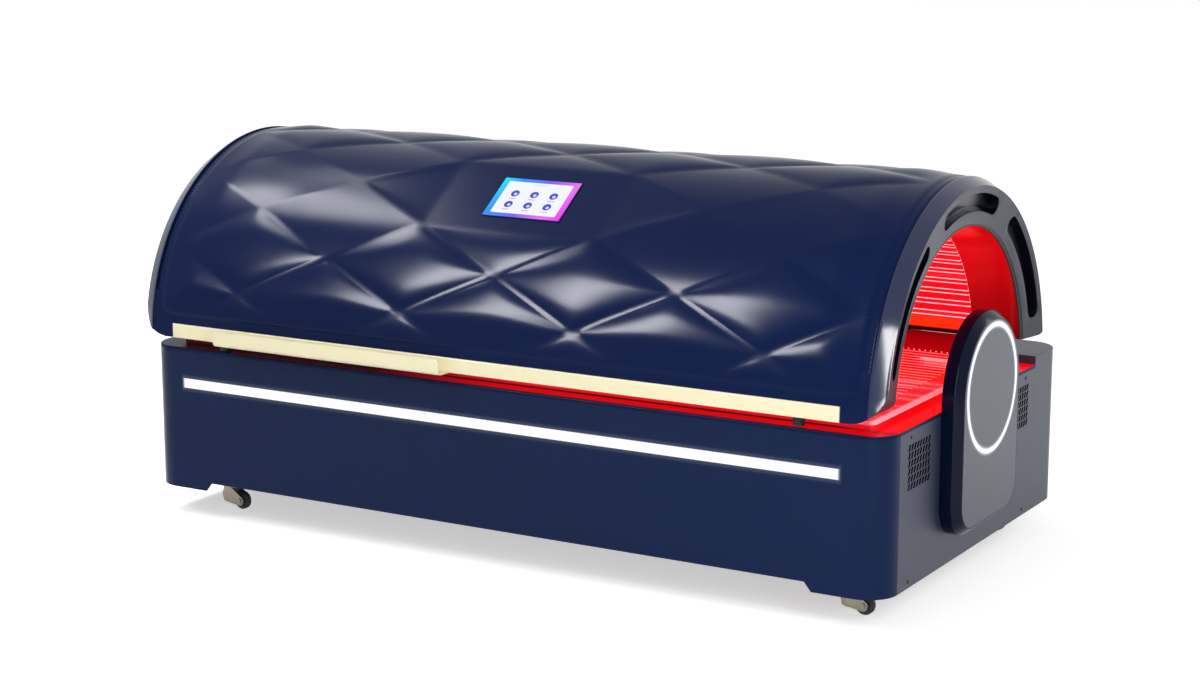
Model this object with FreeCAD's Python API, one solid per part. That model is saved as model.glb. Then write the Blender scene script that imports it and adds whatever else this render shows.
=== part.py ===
# LED light therapy bed: a lit bed in a base on casters, under a quilted canopy hinged at the rear.
# Millimetres. X runs along the bed, Y to the rear, Z up; the origin is on the floor under the middle.
import FreeCAD, Part
import math
import os

V = FreeCAD.Vector

# Base cabinet
base_length = 2100.0
base_depth = 1104.0
base_corner = 76.0
base_top = 456.0
foot_clearance = 80.0
foot_length = 178.0
skirt_rise = 22.0
skirt_slope = 18.0
sheet = 3.0
rim_thickness = 8.0
rim_round = 3.0
rear_housing_depth = 187.0
rear_housing_top = 477.0
back_margin = 20.0
seat_gap = 0.3
pin_clearance = 0.05

# Front light strip
strip_end_margin = 111.0
strip_bottom = 350.0
strip_height = 25.0
strip_flange = 6.0
strip_flange_wall = 3.0
strip_channel_wall = 2.0
strip_channel_depth = 16.0

# Air grilles and fans
grille_inset = 108.0
grille_drop = 84.0
grille_rows = 6
grille_columns = 8
grille_row_pitch = 18.0
grille_column_pitch = 16.0
grille_slot_width = 5.0
grille_slot_length = 13.0
grille_slant = 3.0
fan_size = 120.0
fan_depth = 25.0
fan_bore = 57.0
fan_hub = 20.0
fan_hub_wall = 4.0
fan_spindle = 3.0
fan_arm_width = 8.0
fan_blades = 7
fan_blade_wall = 1.6
fan_blade_chord = 15.0
fan_tip_gap = 3.0
fan_side_gap = 0.5

# End columns
column_width = 380.0
column_top = 666.0
column_bottom = 149.0
column_corner = 85.0
column_depth = 50.0
column_wall = 4.0
column_cavity = 25.0
column_bevel = 17.0
column_bevel_depth = 19.0
column_lip = 3.0
face_wall = 5.0
ring_lift = 8.0
ring_margin = 15.0
ring_band = 14.0
ring_depth = 2.5

# Bed
bed_end_margin = 70.0
bed_front_margin = 67.0
bed_sheet_top = 480.0
bed_sheet_wall = 10.0
bed_sheet_overhang = 15.0
bed_sheet_corner = 20.0
tray_wall = 5.0
tray_bottom = 440.0
bed_strip_pitch = 29.0
bed_strip_width = 12.0
bed_strip_height = 6.0
bed_strip_margin = 45.0
bolster_depth = 95.0
bolster_top = 515.0
bolster_radius = 118.0

# Canopy shell
canopy_overhang = 26.0
canopy_rear_margin = 120.0
arch_axis_height = 474.0
canopy_thickness = 114.0
canopy_front_bottom = 487.0
canopy_rear_bottom = 527.0
rear_corner = 38.0
rear_edge_margin = 1.0
skin_wall = 4.0
end_band = 37.0
end_taper = 20.0
end_round = 8.0
end_wall = 4.0
end_corner = 85.0
end_fill = 73.0
inner_margin = 150.0
cap_turn = 100.0
band_gap = 2.0
skin_corner = 55.0
slot_inset = 60.0
slot_width = 44.0
slot_span = 43.0
slot_angle = 55.0

# Quilting of the canopy skin: crossing creases with a pillow in each diamond
quilt_half_width = 247.5
quilt_half_angle = 13.0
quilt_rise = 12.0
quilt_fade = 110.0
quilt_steps = 2
screen_angle = -34.5

# Canopy inside
rib_end_inset = 490.0
rib_wall = 4.0
beam_wall = 3.0
liner_wall = 4.0
reflector_wall = 2.0
reflector_gap = 19.0
led_strip_pitch = 34.0
led_strip_width = 22.0
led_strip_height = 6.0
led_first_angle = -78.0
led_last_angle = 72.0

# Trim rail and lift handle
rail_height = 36.0
rail_depth = 30.0
rail_end_margin = 105.0
rail_round = 2.0
handle_projection = 34.0
handle_end_inset = 265.0
handle_length = 690.0
handle_wall = 3.0
handle_top = 525.0
handle_curl = 10.0
handle_corner = 10.0
handle_flange = 24.0

# Touch screen
screen_width = 217.0
screen_height = 136.0
screen_offset = 15.0
screen_wall = 2.0
bezel_border = 9.0
bezel_flange = 2.2
bezel_body = 24.0
bezel_clearance = 1.5

# Canopy hinge and gas struts
hinge_end_inset = 350.0
hinge_inset = 102.0
hinge_z = 440.0
hinge_pin_radius = 10.0
hinge_pin_head = 15.0
hinge_pin_head_wall = 4.0
arm_wall = 12.0
arm_boss = 22.0
arm_crank = 14.0
arm_foot_wall = 8.0
arm_foot_width = 60.0
arm_foot_length = 70.0
arm_slot_ahead = 34.0
arm_slot_behind = 86.0
arm_slot_clearance = 4.0
ear_wall = 8.0
ear_gap = 0.5
bracket_wall = 8.0
bracket_margin = 12.0
strut_lever = 55.0
strut_lever_angle = 215.0
strut_stud_radius = 5.0
strut_stud_length = 16.0
strut_eye_hole = 11.5
strut_eye_radius = 17.0
strut_eye_wall = 12.0
strut_eye_gap = 2.0
strut_base_ahead = 25.0
strut_base_z = 142.0
strut_base_eye = 14.0
strut_anchor_wall = 6.0
strut_neck = 4.0
strut_cylinder_radius = 12.0
strut_cylinder_length = 190.0
strut_rod_radius = 5.0
strut_rod_engaged = 80.0

# Steel frame
channel_height = 40.0
channel_width = 60.0
channel_sheet = 3.0
frame_bottom = 86.0
frame_inset = 60.0
hinge_beam_depth = 70.0
hinge_beam_top = 340.0
shelf_wall = 2.0
shelf_end_inset = 350.0
driver_length = 220.0
driver_width = 90.0
driver_height = 45.0
driver_pitch = 300.0
driver_count = 4
driver_round = 4.0

# Casters
caster_end_inset = 145.0
caster_inset = 142.0
caster_plate_length = 90.0
caster_plate_wall = 4.0
king_pin_radius = 6.0
king_pin_length = 20.0
fork_play = 0.5
fork_head_radius = 20.0
fork_head_bottom = 17.0
fork_head_round = 4.0
fork_width = 34.0
fork_cheek_radius = 21.0
fork_cheek_x = 5.0
fork_cheek_z = 38.0
fork_boss = 13.0
fork_wheel_gap = 2.0
wheel_radius = 24.0
wheel_width = 20.0
wheel_crown = 5.0
wheel_side_gap = 1.0
wheel_trail = 39.0
axle_radius = 4.0
axle_head_radius = 7.0
axle_head_wall = 3.0

# Rubber stops, power inlet and mains switch
stop_radius = 14.0
stop_end_inset = 230.0
stop_inset = 32.0
inlet_end_inset = 200.0
inlet_z = 200.0
inlet_width = 46.0
inlet_height = 26.0
inlet_depth = 30.0
inlet_wall = 3.0
inlet_pin_pitch = 13.0
inlet_pin_width = 2.0
inlet_pin_height = 8.0
inlet_pin_length = 18.0
switch_pitch = 60.0
switch_width = 26.0
switch_height = 34.0
switch_depth = 24.0
switch_wall = 2.5
rocker_gap = 1.0
rocker_radius = 12.0
rocker_tilt = 9.0
rocker_pivot_radius = 2.0

# Places that follow from the sizes above
half_length = base_length / 2
caster_x = half_length - caster_end_inset
inlet_x = half_length - inlet_end_inset
hinge_place = half_length - hinge_end_inset
rib_place = half_length - rib_end_inset
stop_place = half_length - stop_end_inset
shelf_half_length = half_length - shelf_end_inset
handle_left = handle_end_inset - half_length
handle_right = handle_left + handle_length
front_reach = canopy_overhang + handle_projection
overall_depth = base_depth + front_reach
base_front = front_reach - overall_depth / 2
base_rear = overall_depth / 2
housing_front = base_rear - rear_housing_depth
panel_seam = base_front + base_corner
panel_top = base_top - rim_thickness
canopy_radius = (base_depth + canopy_overhang - canopy_rear_margin) / 2
axis_y = base_front - canopy_overhang + canopy_radius
axis_z = arch_axis_height
inner_radius = canopy_radius - canopy_thickness
lip_end = half_length - inner_margin
band_edge = half_length - end_band
column_y = (panel_seam + housing_front) / 2
ring_height = column_top - column_width / 2 + ring_lift
ring_radius = column_width / 2 - column_bevel - ring_margin
grille_height = panel_top - grille_drop
rail_front = base_front - canopy_overhang
rail_back = rail_front + rail_depth
rail_top = canopy_front_bottom + rail_height
rail_half = half_length - rail_end_margin
rear_beam_top = canopy_rear_bottom + rear_corner
bed_half = half_length - bed_end_margin
bed_front = base_front + bed_front_margin
bed_rear = housing_front - bolster_depth
bed_sheet_bottom = bed_sheet_top - bed_sheet_wall
frame_upper = tray_bottom - channel_height
lower_top = frame_bottom + channel_height
hinge_y = base_rear - hinge_inset
hinge_beam_front = hinge_y - arm_boss
strut_base_y = hinge_y - strut_base_ahead
lower_rear = strut_base_y - channel_width / 2
slot_radius = canopy_radius - slot_inset


def box(x0, x1, y0, y1, z0, z1):
    return Part.makeBox(x1 - x0, y1 - y0, z1 - z0, V(x0, y0, z0))


def rod(start, end, radius):
    run = end - start
    return Part.makeCylinder(radius, run.Length, start, run)


def rod_x(x0, x1, y, z, radius):
    return rod(V(x0, y, z), V(x1, y, z), radius)


def prism(corners, run):
    return Part.Face(Part.makePolygon(corners + corners[:1])).extrude(run)


def front_prism(outline, y0, y1):
    return prism([V(x, y0, z) for x, z in outline], V(0, y1 - y0, 0))


def fused(shapes):
    return shapes[0].fuse(shapes[1:]).removeSplitter()


def near(value, target):
    return abs(value - target) < 0.01


def rounded(body, radius, chosen):
    return body.makeFillet(radius, [edge for edge in body.Edges if chosen(edge.CenterOfMass)])


def mirrored(shape):
    return shape.mirror(V(0, 0, 0), V(1, 0, 0))


def on_side(shape, side):
    return shape if side > 0 else mirrored(shape)


def tangent_hull(centre_a, radius_a, centre_b, radius_b, run):
    """Plate around two circles and the straight sides that touch both."""
    across = centre_b - centre_a
    lean = math.degrees(math.acos((radius_a - radius_b) / across.Length))
    along = across.normalize()
    corners = []
    for centre, radius, turns in ((centre_a, radius_a, (lean, -lean)), (centre_b, radius_b, (-lean, lean))):
        for turn in turns:
            corners.append(centre + FreeCAD.Rotation(run, turn).multVec(along) * radius)
    discs = [rod(centre_a, centre_a + run, radius_a), rod(centre_b, centre_b + run, radius_b)]
    return fused(discs + [prism(corners, run)])


def arch_shell(r_in, r_out, x0, x1, front_z, rear_z):
    ring = rod_x(x0, x1, axis_y, axis_z, r_out).cut(rod_x(x0, x1, axis_y, axis_z, r_in))
    reach = r_out + 1
    front = box(x0 - 1, x1 + 1, axis_y - reach, axis_y, axis_z - reach, front_z)
    rear = box(x0 - 1, x1 + 1, axis_y, axis_y + reach, axis_z - reach, rear_z)
    return ring.cut(front).cut(rear)


def arch_revolve(section, start=0.0, sweep=360.0):
    """Ring about the arch axis; angles run from the crown towards the rear."""
    axis = V(0, axis_y, axis_z)
    corners = [V(x, axis_y, axis_z + r) for x, r in section]
    face = Part.Face(Part.makePolygon(corners + corners[:1]))
    face.rotate(axis, V(-1, 0, 0), start)
    return face.revolve(axis, V(-1, 0, 0), sweep)


def arch_point(x, radius, degrees):
    turn = math.radians(degrees)
    return V(x, axis_y + radius * math.sin(turn), axis_z + radius * math.cos(turn))


def save(name, *shapes):
    shape = shapes[0] if len(shapes) == 1 else Part.makeCompound(list(shapes))
    shape.exportStep(os.path.join("parts", name + ".step"))


os.makedirs("parts", exist_ok=True)
sides = (("left", -1), ("right", 1))


# Steel frame: folded channels, open below, welded into a lower ring, posts, an upper ring and a hinge beam
def channel(x0, x1, y0, y1, z0, z1):
    wall = channel_sheet
    if x1 - x0 > y1 - y0:
        hollow = box(x0, x1, y0 + wall, y1 - wall, z0, z1 - wall)
    else:
        hollow = box(x0 + wall, x1 - wall, y0, y1, z0, z1 - wall)
    return box(x0, x1, y0, y1, z0, z1).cut(hollow)


def post(x, y, z0, z1):
    wall = channel_sheet
    size = channel_height
    return box(x, x + size, y, y + size, z0, z1).cut(box(x + wall, x + size, y + wall, y + size, z0, z1))


frame_half = half_length - frame_inset
members = []
for rail_y in (bed_front, lower_rear):
    members.append(channel(-frame_half, frame_half, rail_y, rail_y + channel_width, frame_bottom, lower_top))
for rail_y in (bed_front, bed_rear - channel_width):
    members.append(channel(-frame_half, frame_half, rail_y, rail_y + channel_width,
                           frame_upper, tray_bottom))
for cross_x in (-caster_x, -driver_pitch, driver_pitch, caster_x):
    cross = (cross_x - channel_width / 2, cross_x + channel_width / 2)
    members.append(channel(*cross, bed_front, lower_rear + channel_width, frame_bottom, lower_top))
    members.append(channel(*cross, bed_front, bed_rear, frame_upper, tray_bottom))
members.append(channel(-frame_half, frame_half, hinge_beam_front, hinge_beam_front + hinge_beam_depth,
                       hinge_beam_top - channel_height, hinge_beam_top))
post_foot = lower_top - channel_sheet
for post_x in (-caster_x - channel_width / 2, caster_x - channel_width / 2):
    for post_y in (bed_front, bed_rear - channel_width):
        members.append(post(post_x, post_y, post_foot, frame_upper + channel_sheet))
    members.append(post(post_x, hinge_beam_front, post_foot, hinge_beam_top - channel_sheet))
save("base_frame", fused(members))


# Cabinet: front panel with its light strip, end panels with air grilles, rim and rear housing
def cabinet_front(inset, z0, z1):
    front = base_front + inset
    body = box(-half_length + inset, half_length - inset, front, housing_front - seat_gap, z0, z1)
    return rounded(body, base_corner - inset, lambda c: near(c.y, front) and z0 < c.z < z1 and abs(c.x) > 1)


wrap = cabinet_front(0, foot_clearance, panel_top).cut(cabinet_front(sheet, foot_clearance, panel_top))
front_zone = box(-half_length, half_length, base_front, panel_seam, foot_clearance, panel_top)
foot_inner = half_length - foot_length
skirt_top = foot_clearance + skirt_rise
skirt = front_prism([(-foot_inner, foot_clearance), (-foot_inner + skirt_slope, skirt_top),
                     (foot_inner - skirt_slope, skirt_top), (foot_inner, foot_clearance)],
                    base_front, panel_seam)
strip_half = half_length - strip_end_margin
strip_top = strip_bottom + strip_height
strip_back = base_front + sheet
window = box(-strip_half - seat_gap, strip_half + seat_gap, base_front, strip_back,
             strip_bottom - seat_gap, strip_top + seat_gap)
save("front_panel", wrap.common(front_zone).cut(skirt).cut(window))

flange_back = strip_back + strip_flange_wall
strip_low = strip_bottom - strip_flange
strip_high = strip_top + strip_flange
strip_lens = box(-strip_half, strip_half, base_front, strip_back, strip_bottom, strip_top)
strip_flanges = box(-strip_half, strip_half, strip_back, flange_back, strip_low, strip_high)
save("front_light_strip", fused([strip_lens, strip_flanges]))
channel_back = flange_back + strip_channel_depth
strip_channel = box(-strip_half, strip_half, flange_back, channel_back, strip_low, strip_high)
strip_hollow = box(-strip_half, strip_half, flange_back, channel_back - strip_channel_wall,
                   strip_low + strip_channel_wall, strip_high - strip_channel_wall)
save("strip_channel", strip_channel.cut(strip_hollow))

end_inner = half_length - sheet
grille_places = (panel_seam + grille_inset, housing_front - grille_inset)
panel = box(end_inner, half_length, panel_seam + seat_gap, housing_front - seat_gap,
            foot_clearance, panel_top)
slots = []
for grille_y in grille_places:
    for row in range(grille_rows):
        for column in range(grille_columns):
            y = grille_y + (column - (grille_columns - 1) / 2) * grille_column_pitch
            z = grille_height + (row - (grille_rows - 1) / 2) * grille_row_pitch
            half_slot = grille_slot_width / 2
            half_tall = grille_slot_length / 2
            low = y - grille_slant
            high = y + grille_slant
            corners = [(low - half_slot, z - half_tall), (low + half_slot, z - half_tall),
                       (high + half_slot, z + half_tall), (high - half_slot, z + half_tall)]
            slots.append(prism([V(end_inner, a, b) for a, b in corners], V(sheet, 0, 0)))
end_panel = panel.cut(slots)
for name, side in sides:
    save("end_panel_" + name, on_side(end_panel, side))

rim = cabinet_front(0, panel_top, base_top)
rim = rounded(rim, rim_round, lambda c: near(c.z, base_top) and c.y < housing_front - 1)
rim_opening = box(-bed_half - seat_gap, bed_half + seat_gap, bed_front - seat_gap, bed_rear + seat_gap,
                  panel_top, base_top)
save("deck_rim", rim.cut(rim_opening))


def housing_block(inset):
    rear = base_rear - inset
    top = rear_housing_top - inset
    body = box(-half_length + inset, half_length - inset, housing_front + inset, rear, foot_clearance, top)
    return rounded(body, base_corner - inset,
                   lambda c: near(c.y, rear) and foot_clearance < c.z < top and abs(c.x) > 1)


housing = rounded(housing_block(0), rim_round, lambda c: near(c.z, rear_housing_top))
housing = housing.cut(housing_block(sheet))
doorway = box(-end_inner, end_inner, housing_front, housing_front + sheet, foot_clearance, panel_top)
arm_half_slot = arm_wall / 2 + arm_slot_clearance
arm_slot = box(hinge_place - arm_half_slot, hinge_place + arm_half_slot, hinge_y - arm_slot_ahead,
               hinge_y + arm_slot_behind, rear_housing_top - sheet, rear_housing_top)
switch_x = inlet_x - switch_pitch


def back_window(x, width, height, gap):
    return box(x - width / 2 - gap, x + width / 2 + gap, base_rear - sheet, base_rear,
               inlet_z - height / 2 - gap, inlet_z + height / 2 + gap)


def back_sheet(grow):
    half = half_length - base_corner - back_margin + grow
    top = rear_housing_top - back_margin + grow
    return box(-half, half, base_rear - sheet, base_rear, foot_clearance, top)


save("rear_housing", housing.cut([doorway, arm_slot, mirrored(arm_slot), back_sheet(seat_gap)]))
save("back_panel", back_sheet(0).cut([back_window(inlet_x, inlet_width, inlet_height, seat_gap),
                                      back_window(switch_x, switch_width, switch_height, seat_gap)]))


# Power inlet and mains switch, set flush into the back
def back_body(x, width, height, depth):
    return box(x - width / 2, x + width / 2, base_rear - depth, base_rear,
               inlet_z - height / 2, inlet_z + height / 2)


def back_pocket(x, width, height, depth, wall):
    return box(x - width / 2 + wall, x + width / 2 - wall, base_rear - depth + wall, base_rear,
               inlet_z - height / 2 + wall, inlet_z + height / 2 - wall)


inlet = back_body(inlet_x, inlet_width, inlet_height, inlet_depth)
inlet = inlet.cut(back_pocket(inlet_x, inlet_width, inlet_height, inlet_depth, inlet_wall))
inlet_floor = base_rear - inlet_depth + inlet_wall
pins = []
for step in (-1, 0, 1):
    pin_x = inlet_x + step * inlet_pin_pitch
    pins.append(box(pin_x - inlet_pin_width / 2, pin_x + inlet_pin_width / 2,
                    inlet_floor - 1, inlet_floor + inlet_pin_length,
                    inlet_z - inlet_pin_height / 2, inlet_z + inlet_pin_height / 2))
save("power_inlet", fused([inlet] + pins))

rocker_y = base_rear - rocker_radius - rocker_gap
rocker_half = switch_width / 2 - switch_wall - rocker_gap
switch_frame = back_body(switch_x, switch_width, switch_height, switch_depth)
switch_frame = switch_frame.cut(back_pocket(switch_x, switch_width, switch_height, switch_depth,
                                            switch_wall))
pivot_reach = switch_width / 2 - switch_wall / 2
pivot_bore = rod_x(switch_x - pivot_reach, switch_x + pivot_reach, rocker_y, inlet_z,
                   rocker_pivot_radius + pin_clearance)
save("switch_frame", switch_frame.cut(pivot_bore))
rocker_tall = switch_height / 2 - switch_wall - 2 * rocker_gap
rocker_block = box(switch_x - rocker_half, switch_x + rocker_half, rocker_y - rocker_radius / 2,
                   rocker_y + rocker_radius / 2, inlet_z - rocker_tall, inlet_z + rocker_tall)
rocker = fused([rocker_block, rod_x(switch_x - pivot_reach, switch_x + pivot_reach, rocker_y, inlet_z,
                                    rocker_pivot_radius)])
rocker.rotate(V(switch_x, rocker_y, inlet_z), V(1, 0, 0), -rocker_tilt)
save("power_rocker", rocker)


# Axial fans behind the grilles: square frame with three arms and a spindle, and a bladed rotor
def fan_frame(y):
    back = end_inner - fan_depth
    half = fan_size / 2
    body = box(back, end_inner, y - half, y + half, grille_height - half, grille_height + half)
    body = body.cut(rod_x(back, end_inner, y, grille_height, fan_bore))
    arms = []
    for turn in (90, 210, 330):
        arm = box(back, back + fan_hub_wall, y, y + fan_bore + 1, grille_height - fan_arm_width / 2,
                  grille_height + fan_arm_width / 2)
        arm.rotate(V(0, y, grille_height), V(1, 0, 0), turn)
        arms.append(arm)
    hub = rod_x(back, back + fan_hub_wall, y, grille_height, fan_hub)
    spindle = rod_x(back, end_inner - fan_hub_wall, y, grille_height, fan_spindle)
    return fused([body] + arms + [hub, spindle])


def fan_rotor(y):
    back = end_inner - fan_depth + fan_hub_wall + fan_side_gap
    front = end_inner - fan_side_gap
    middle = (back + front) / 2
    hub = rod_x(back, front, y, grille_height, fan_hub)
    tip = fan_bore - fan_tip_gap

    def blade_edge(radius, pitch):
        half_chord = fan_blade_chord / 2
        half_wall = fan_blade_wall / 2
        corners = []
        for chord, wall in ((-1, -1), (1, -1), (1, 1), (-1, 1)):
            turn = math.radians(pitch)
            dx = chord * half_chord * math.cos(turn) - wall * half_wall * math.sin(turn)
            dy = chord * half_chord * math.sin(turn) + wall * half_wall * math.cos(turn)
            corners.append(V(middle + dx, y + dy, grille_height + radius))
        return Part.makePolygon(corners + corners[:1])

    blade = Part.makeLoft([blade_edge(fan_hub - 2, 50), blade_edge(tip, 65)], True, True)
    blades = []
    for step in range(fan_blades):
        copy = blade.copy()
        copy.rotate(V(0, y, grille_height), V(1, 0, 0), step * 360 / fan_blades)
        blades.append(copy)
    body = fused([hub] + blades)
    return body.cut(rod_x(back, front, y, grille_height, fan_spindle + pin_clearance))


fan_names = ("front", "rear")
save("fan_frames", *[on_side(fan_frame(y), side) for name, side in sides for y in grille_places])
for name, side in sides:
    for place, y in zip(fan_names, grille_places):
        save("fan_rotor_" + place + "_" + name, on_side(fan_rotor(y), side))


# End columns: round-topped housing with a bevelled edge, satin face plate and a light ring in a groove
def column_outline(inset, x):
    half = column_width / 2 - inset
    crown = column_top - column_width / 2
    low = column_bottom + inset
    corner = column_corner - inset
    bend = corner * (1 - math.sqrt(0.5))
    side = low + corner
    left = column_y - half
    right = column_y + half
    edges = [
        Part.LineSegment(V(x, left, side), V(x, left, crown)).toShape(),
        Part.Arc(V(x, left, crown), V(x, column_y, crown + half), V(x, right, crown)).toShape(),
        Part.LineSegment(V(x, right, crown), V(x, right, side)).toShape(),
        Part.Arc(V(x, right, side), V(x, right - bend, low + bend), V(x, right - corner, low)).toShape(),
        Part.LineSegment(V(x, right - corner, low), V(x, left + corner, low)).toShape(),
        Part.Arc(V(x, left + corner, low), V(x, left + bend, low + bend), V(x, left, side)).toShape(),
    ]
    return Part.Wire(edges)


def column_slab(inset, x0, x1):
    return Part.Face(column_outline(inset, x0)).extrude(V(x1 - x0, 0, 0))


column_face = half_length + column_depth
bevel_start = column_face - column_bevel_depth
face_back = column_face - face_wall
face_inset = column_bevel + column_lip
bevel = Part.makeLoft([column_outline(0, bevel_start), column_outline(column_bevel, column_face)],
                      True, True)
column = fused([column_slab(0, half_length, bevel_start), bevel])
column = column.cut([column_slab(column_wall, half_length, half_length + column_cavity),
                     column_slab(face_inset, face_back, column_face)])


def ring_body(grow, x0, x1):
    outer = rod_x(x0, x1, column_y, ring_height, ring_radius + grow)
    return outer.cut(rod_x(x0, x1, column_y, ring_height, ring_radius - ring_band - grow))


ring_back = column_face - ring_depth
plate = column_slab(face_inset + seat_gap, face_back, column_face)
plate = plate.cut(ring_body(seat_gap, ring_back, column_face))
for name, side in sides:
    save("end_column_" + name, on_side(column, side))
    save("column_face_" + name, on_side(plate, side))
    save("ring_light_" + name, on_side(ring_body(0, ring_back, column_face), side))

# Bed: tray, LED strips, clear sheet and the curved bolster along the rear
tray = box(-bed_half, bed_half, bed_front, bed_rear, tray_bottom, bed_sheet_bottom)
tray_floor = tray_bottom + tray_wall
save("bed_tray", tray.cut(box(-bed_half + tray_wall, bed_half - tray_wall, bed_front + tray_wall,
                              bed_rear - tray_wall, tray_floor, bed_sheet_bottom)))
strip_run = bed_half - bed_strip_margin
bed_span = bed_rear - bed_front - 2 * bed_strip_margin
strip_count = int(bed_span / bed_strip_pitch) + 1
first_strip = (bed_front + bed_rear) / 2 - (strip_count - 1) / 2 * bed_strip_pitch
bed_strips = []
for step in range(strip_count):
    y = first_strip + step * bed_strip_pitch
    bed_strips.append(box(-strip_run, strip_run, y - bed_strip_width / 2, y + bed_strip_width / 2,
                          tray_floor, tray_floor + bed_strip_height))
save("bed_led_strips", *bed_strips)
sheet_front = bed_front - bed_sheet_overhang
sheet_half = bed_half + bed_sheet_overhang
bed_sheet = box(-sheet_half, sheet_half, sheet_front, bed_rear, bed_sheet_bottom, bed_sheet_top)
save("bed_sheet", rounded(bed_sheet, bed_sheet_corner, lambda c: near(c.y, sheet_front) and abs(c.x) > 1
                          and bed_sheet_bottom < c.z < bed_sheet_top))
bolster = box(-bed_half, bed_half, bed_rear + seat_gap, housing_front - seat_gap, base_top, bolster_top)
save("rear_bolster", bolster.cut(rod_x(-bed_half, bed_half, bed_rear, bed_sheet_top + bolster_radius,
                                       bolster_radius)))

# Electronics on a shelf over the lower frame
shelf_top = lower_top + shelf_wall
save("electronics_shelf", box(-shelf_half_length, shelf_half_length, bed_front, lower_rear,
                              lower_top, shelf_top))
drivers = []
for step in range(driver_count):
    x = (step - (driver_count - 1) / 2) * driver_pitch
    driver = box(x - driver_length / 2, x + driver_length / 2, -driver_width / 2, driver_width / 2,
                 shelf_top, shelf_top + driver_height)
    drivers.append(rounded(driver, driver_round, lambda c: near(c.z, shelf_top + driver_height / 2)))
save("led_drivers", *drivers)

# Rubber stops that carry the closed canopy
stop = rod(V(stop_place, base_front + stop_inset, base_top),
           V(stop_place, base_front + stop_inset, canopy_front_bottom - seat_gap), stop_radius)
save("rubber_stops", stop, mirrored(stop))

# Casters: plate with king pin, fork with axle, wheel
plate_bottom = frame_bottom - caster_plate_wall
caster_spots = []
for place, y in (("front", base_front + caster_inset), ("rear", base_rear - caster_inset)):
    for name, side in sides:
        caster_spots.append((place + "_" + name, V(side * caster_x, y, 0)))


def caster_plate(spot):
    half_width = channel_width / 2
    body = box(spot.x - half_width, spot.x + half_width, spot.y - caster_plate_length / 2,
               spot.y + caster_plate_length / 2, plate_bottom, frame_bottom)
    pin = rod(V(spot.x, spot.y, plate_bottom - king_pin_length), V(spot.x, spot.y, plate_bottom),
              king_pin_radius)
    return fused([body, pin])


def across(x, z, half_width, radius):
    return rod(V(x, -half_width, z), V(x, half_width, z), radius)


fork_top = plate_bottom - fork_play
head = Part.makeCylinder(fork_head_radius, fork_top - fork_head_bottom, V(0, 0, fork_head_bottom))
head_rim = [edge for edge in head.Edges if near(edge.CenterOfMass.z, fork_head_bottom)]
head = head.makeChamfer(fork_head_round, head_rim)
cheeks = tangent_hull(V(fork_cheek_x, -fork_width / 2, fork_cheek_z), fork_cheek_radius,
                      V(wheel_trail, -fork_width / 2, wheel_radius), fork_boss, V(0, fork_width, 0))
king_bore = Part.makeCylinder(king_pin_radius + pin_clearance, king_pin_length,
                              V(0, 0, plate_bottom - king_pin_length - fork_play))
wheel_room = across(wheel_trail, wheel_radius, wheel_width / 2 + wheel_side_gap,
                    wheel_radius + fork_wheel_gap)
axle = fused([across(wheel_trail, wheel_radius, fork_width / 2, axle_radius)]
             + [rod(V(wheel_trail, side * fork_width / 2, wheel_radius),
                    V(wheel_trail, side * (fork_width / 2 + axle_head_wall), wheel_radius), axle_head_radius)
                for name, side in sides])
fork = fused([head, cheeks]).cut([wheel_room, king_bore,
                                  across(wheel_trail, wheel_radius, fork_width / 2, axle_radius)])
wheel = across(wheel_trail, wheel_radius, wheel_width / 2, wheel_radius)
tread_rims = [edge for edge in wheel.Edges if near(abs(edge.CenterOfMass.y), wheel_width / 2)]
wheel = wheel.makeChamfer(wheel_crown, tread_rims)
wheel = wheel.cut(across(wheel_trail, wheel_radius, wheel_width / 2, axle_radius + pin_clearance))
save("caster_plates", *[caster_plate(spot) for name, spot in caster_spots])
for name, spot in caster_spots:
    save("caster_fork_" + name, fork.translated(spot), axle.translated(spot))
    save("caster_wheel_" + name, wheel.translated(spot))

# Canopy end caps: rounded band, face that tapers inwards with three air slots, smooth inner lip
band_start = rail_half + seat_gap
cap_section = [
    (band_start, canopy_radius), (half_length - end_round, canopy_radius),
    (half_length, canopy_radius - end_round), (half_length - end_taper, inner_radius),
    (lip_end, inner_radius), (lip_end, inner_radius + end_wall), (band_start, canopy_radius - end_wall),
]
cavity_start = lip_end - end_wall
cavity_section = [
    (cavity_start, inner_radius + end_wall), (half_length - end_taper - end_wall, inner_radius + end_wall),
    (half_length - end_wall, canopy_radius - end_round - end_wall / 2),
    (half_length - end_round - end_wall / 2, canopy_radius - end_wall),
    (cavity_start, canopy_radius - end_wall),
]
far = canopy_radius + 1


def skin_field(half_width, bottom, corner, y0, y1):
    """Upright prism over the quilted field, with its two lower corners rounded."""
    top = axis_z + 2 * canopy_radius
    body = box(-half_width, half_width, y0, y1, bottom, top)
    return rounded(body, corner, lambda c: near(c.z, bottom) and abs(c.x) > 1)


def arc_slot(angle):
    end_turn = slot_span / 2 - math.degrees(math.asin(slot_width / 2 / slot_radius))
    x0 = half_length - end_taper - end_round
    section = [(x0, slot_radius - slot_width / 2), (half_length, slot_radius - slot_width / 2),
               (half_length, slot_radius + slot_width / 2), (x0, slot_radius + slot_width / 2)]
    parts = [arch_revolve(section, angle - end_turn, 2 * end_turn)]
    for turn in (angle - end_turn, angle + end_turn):
        start = arch_point(x0, slot_radius, turn)
        parts.append(rod(start, V(half_length, start.y, start.z), slot_width / 2))
    return fused(parts)


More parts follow.
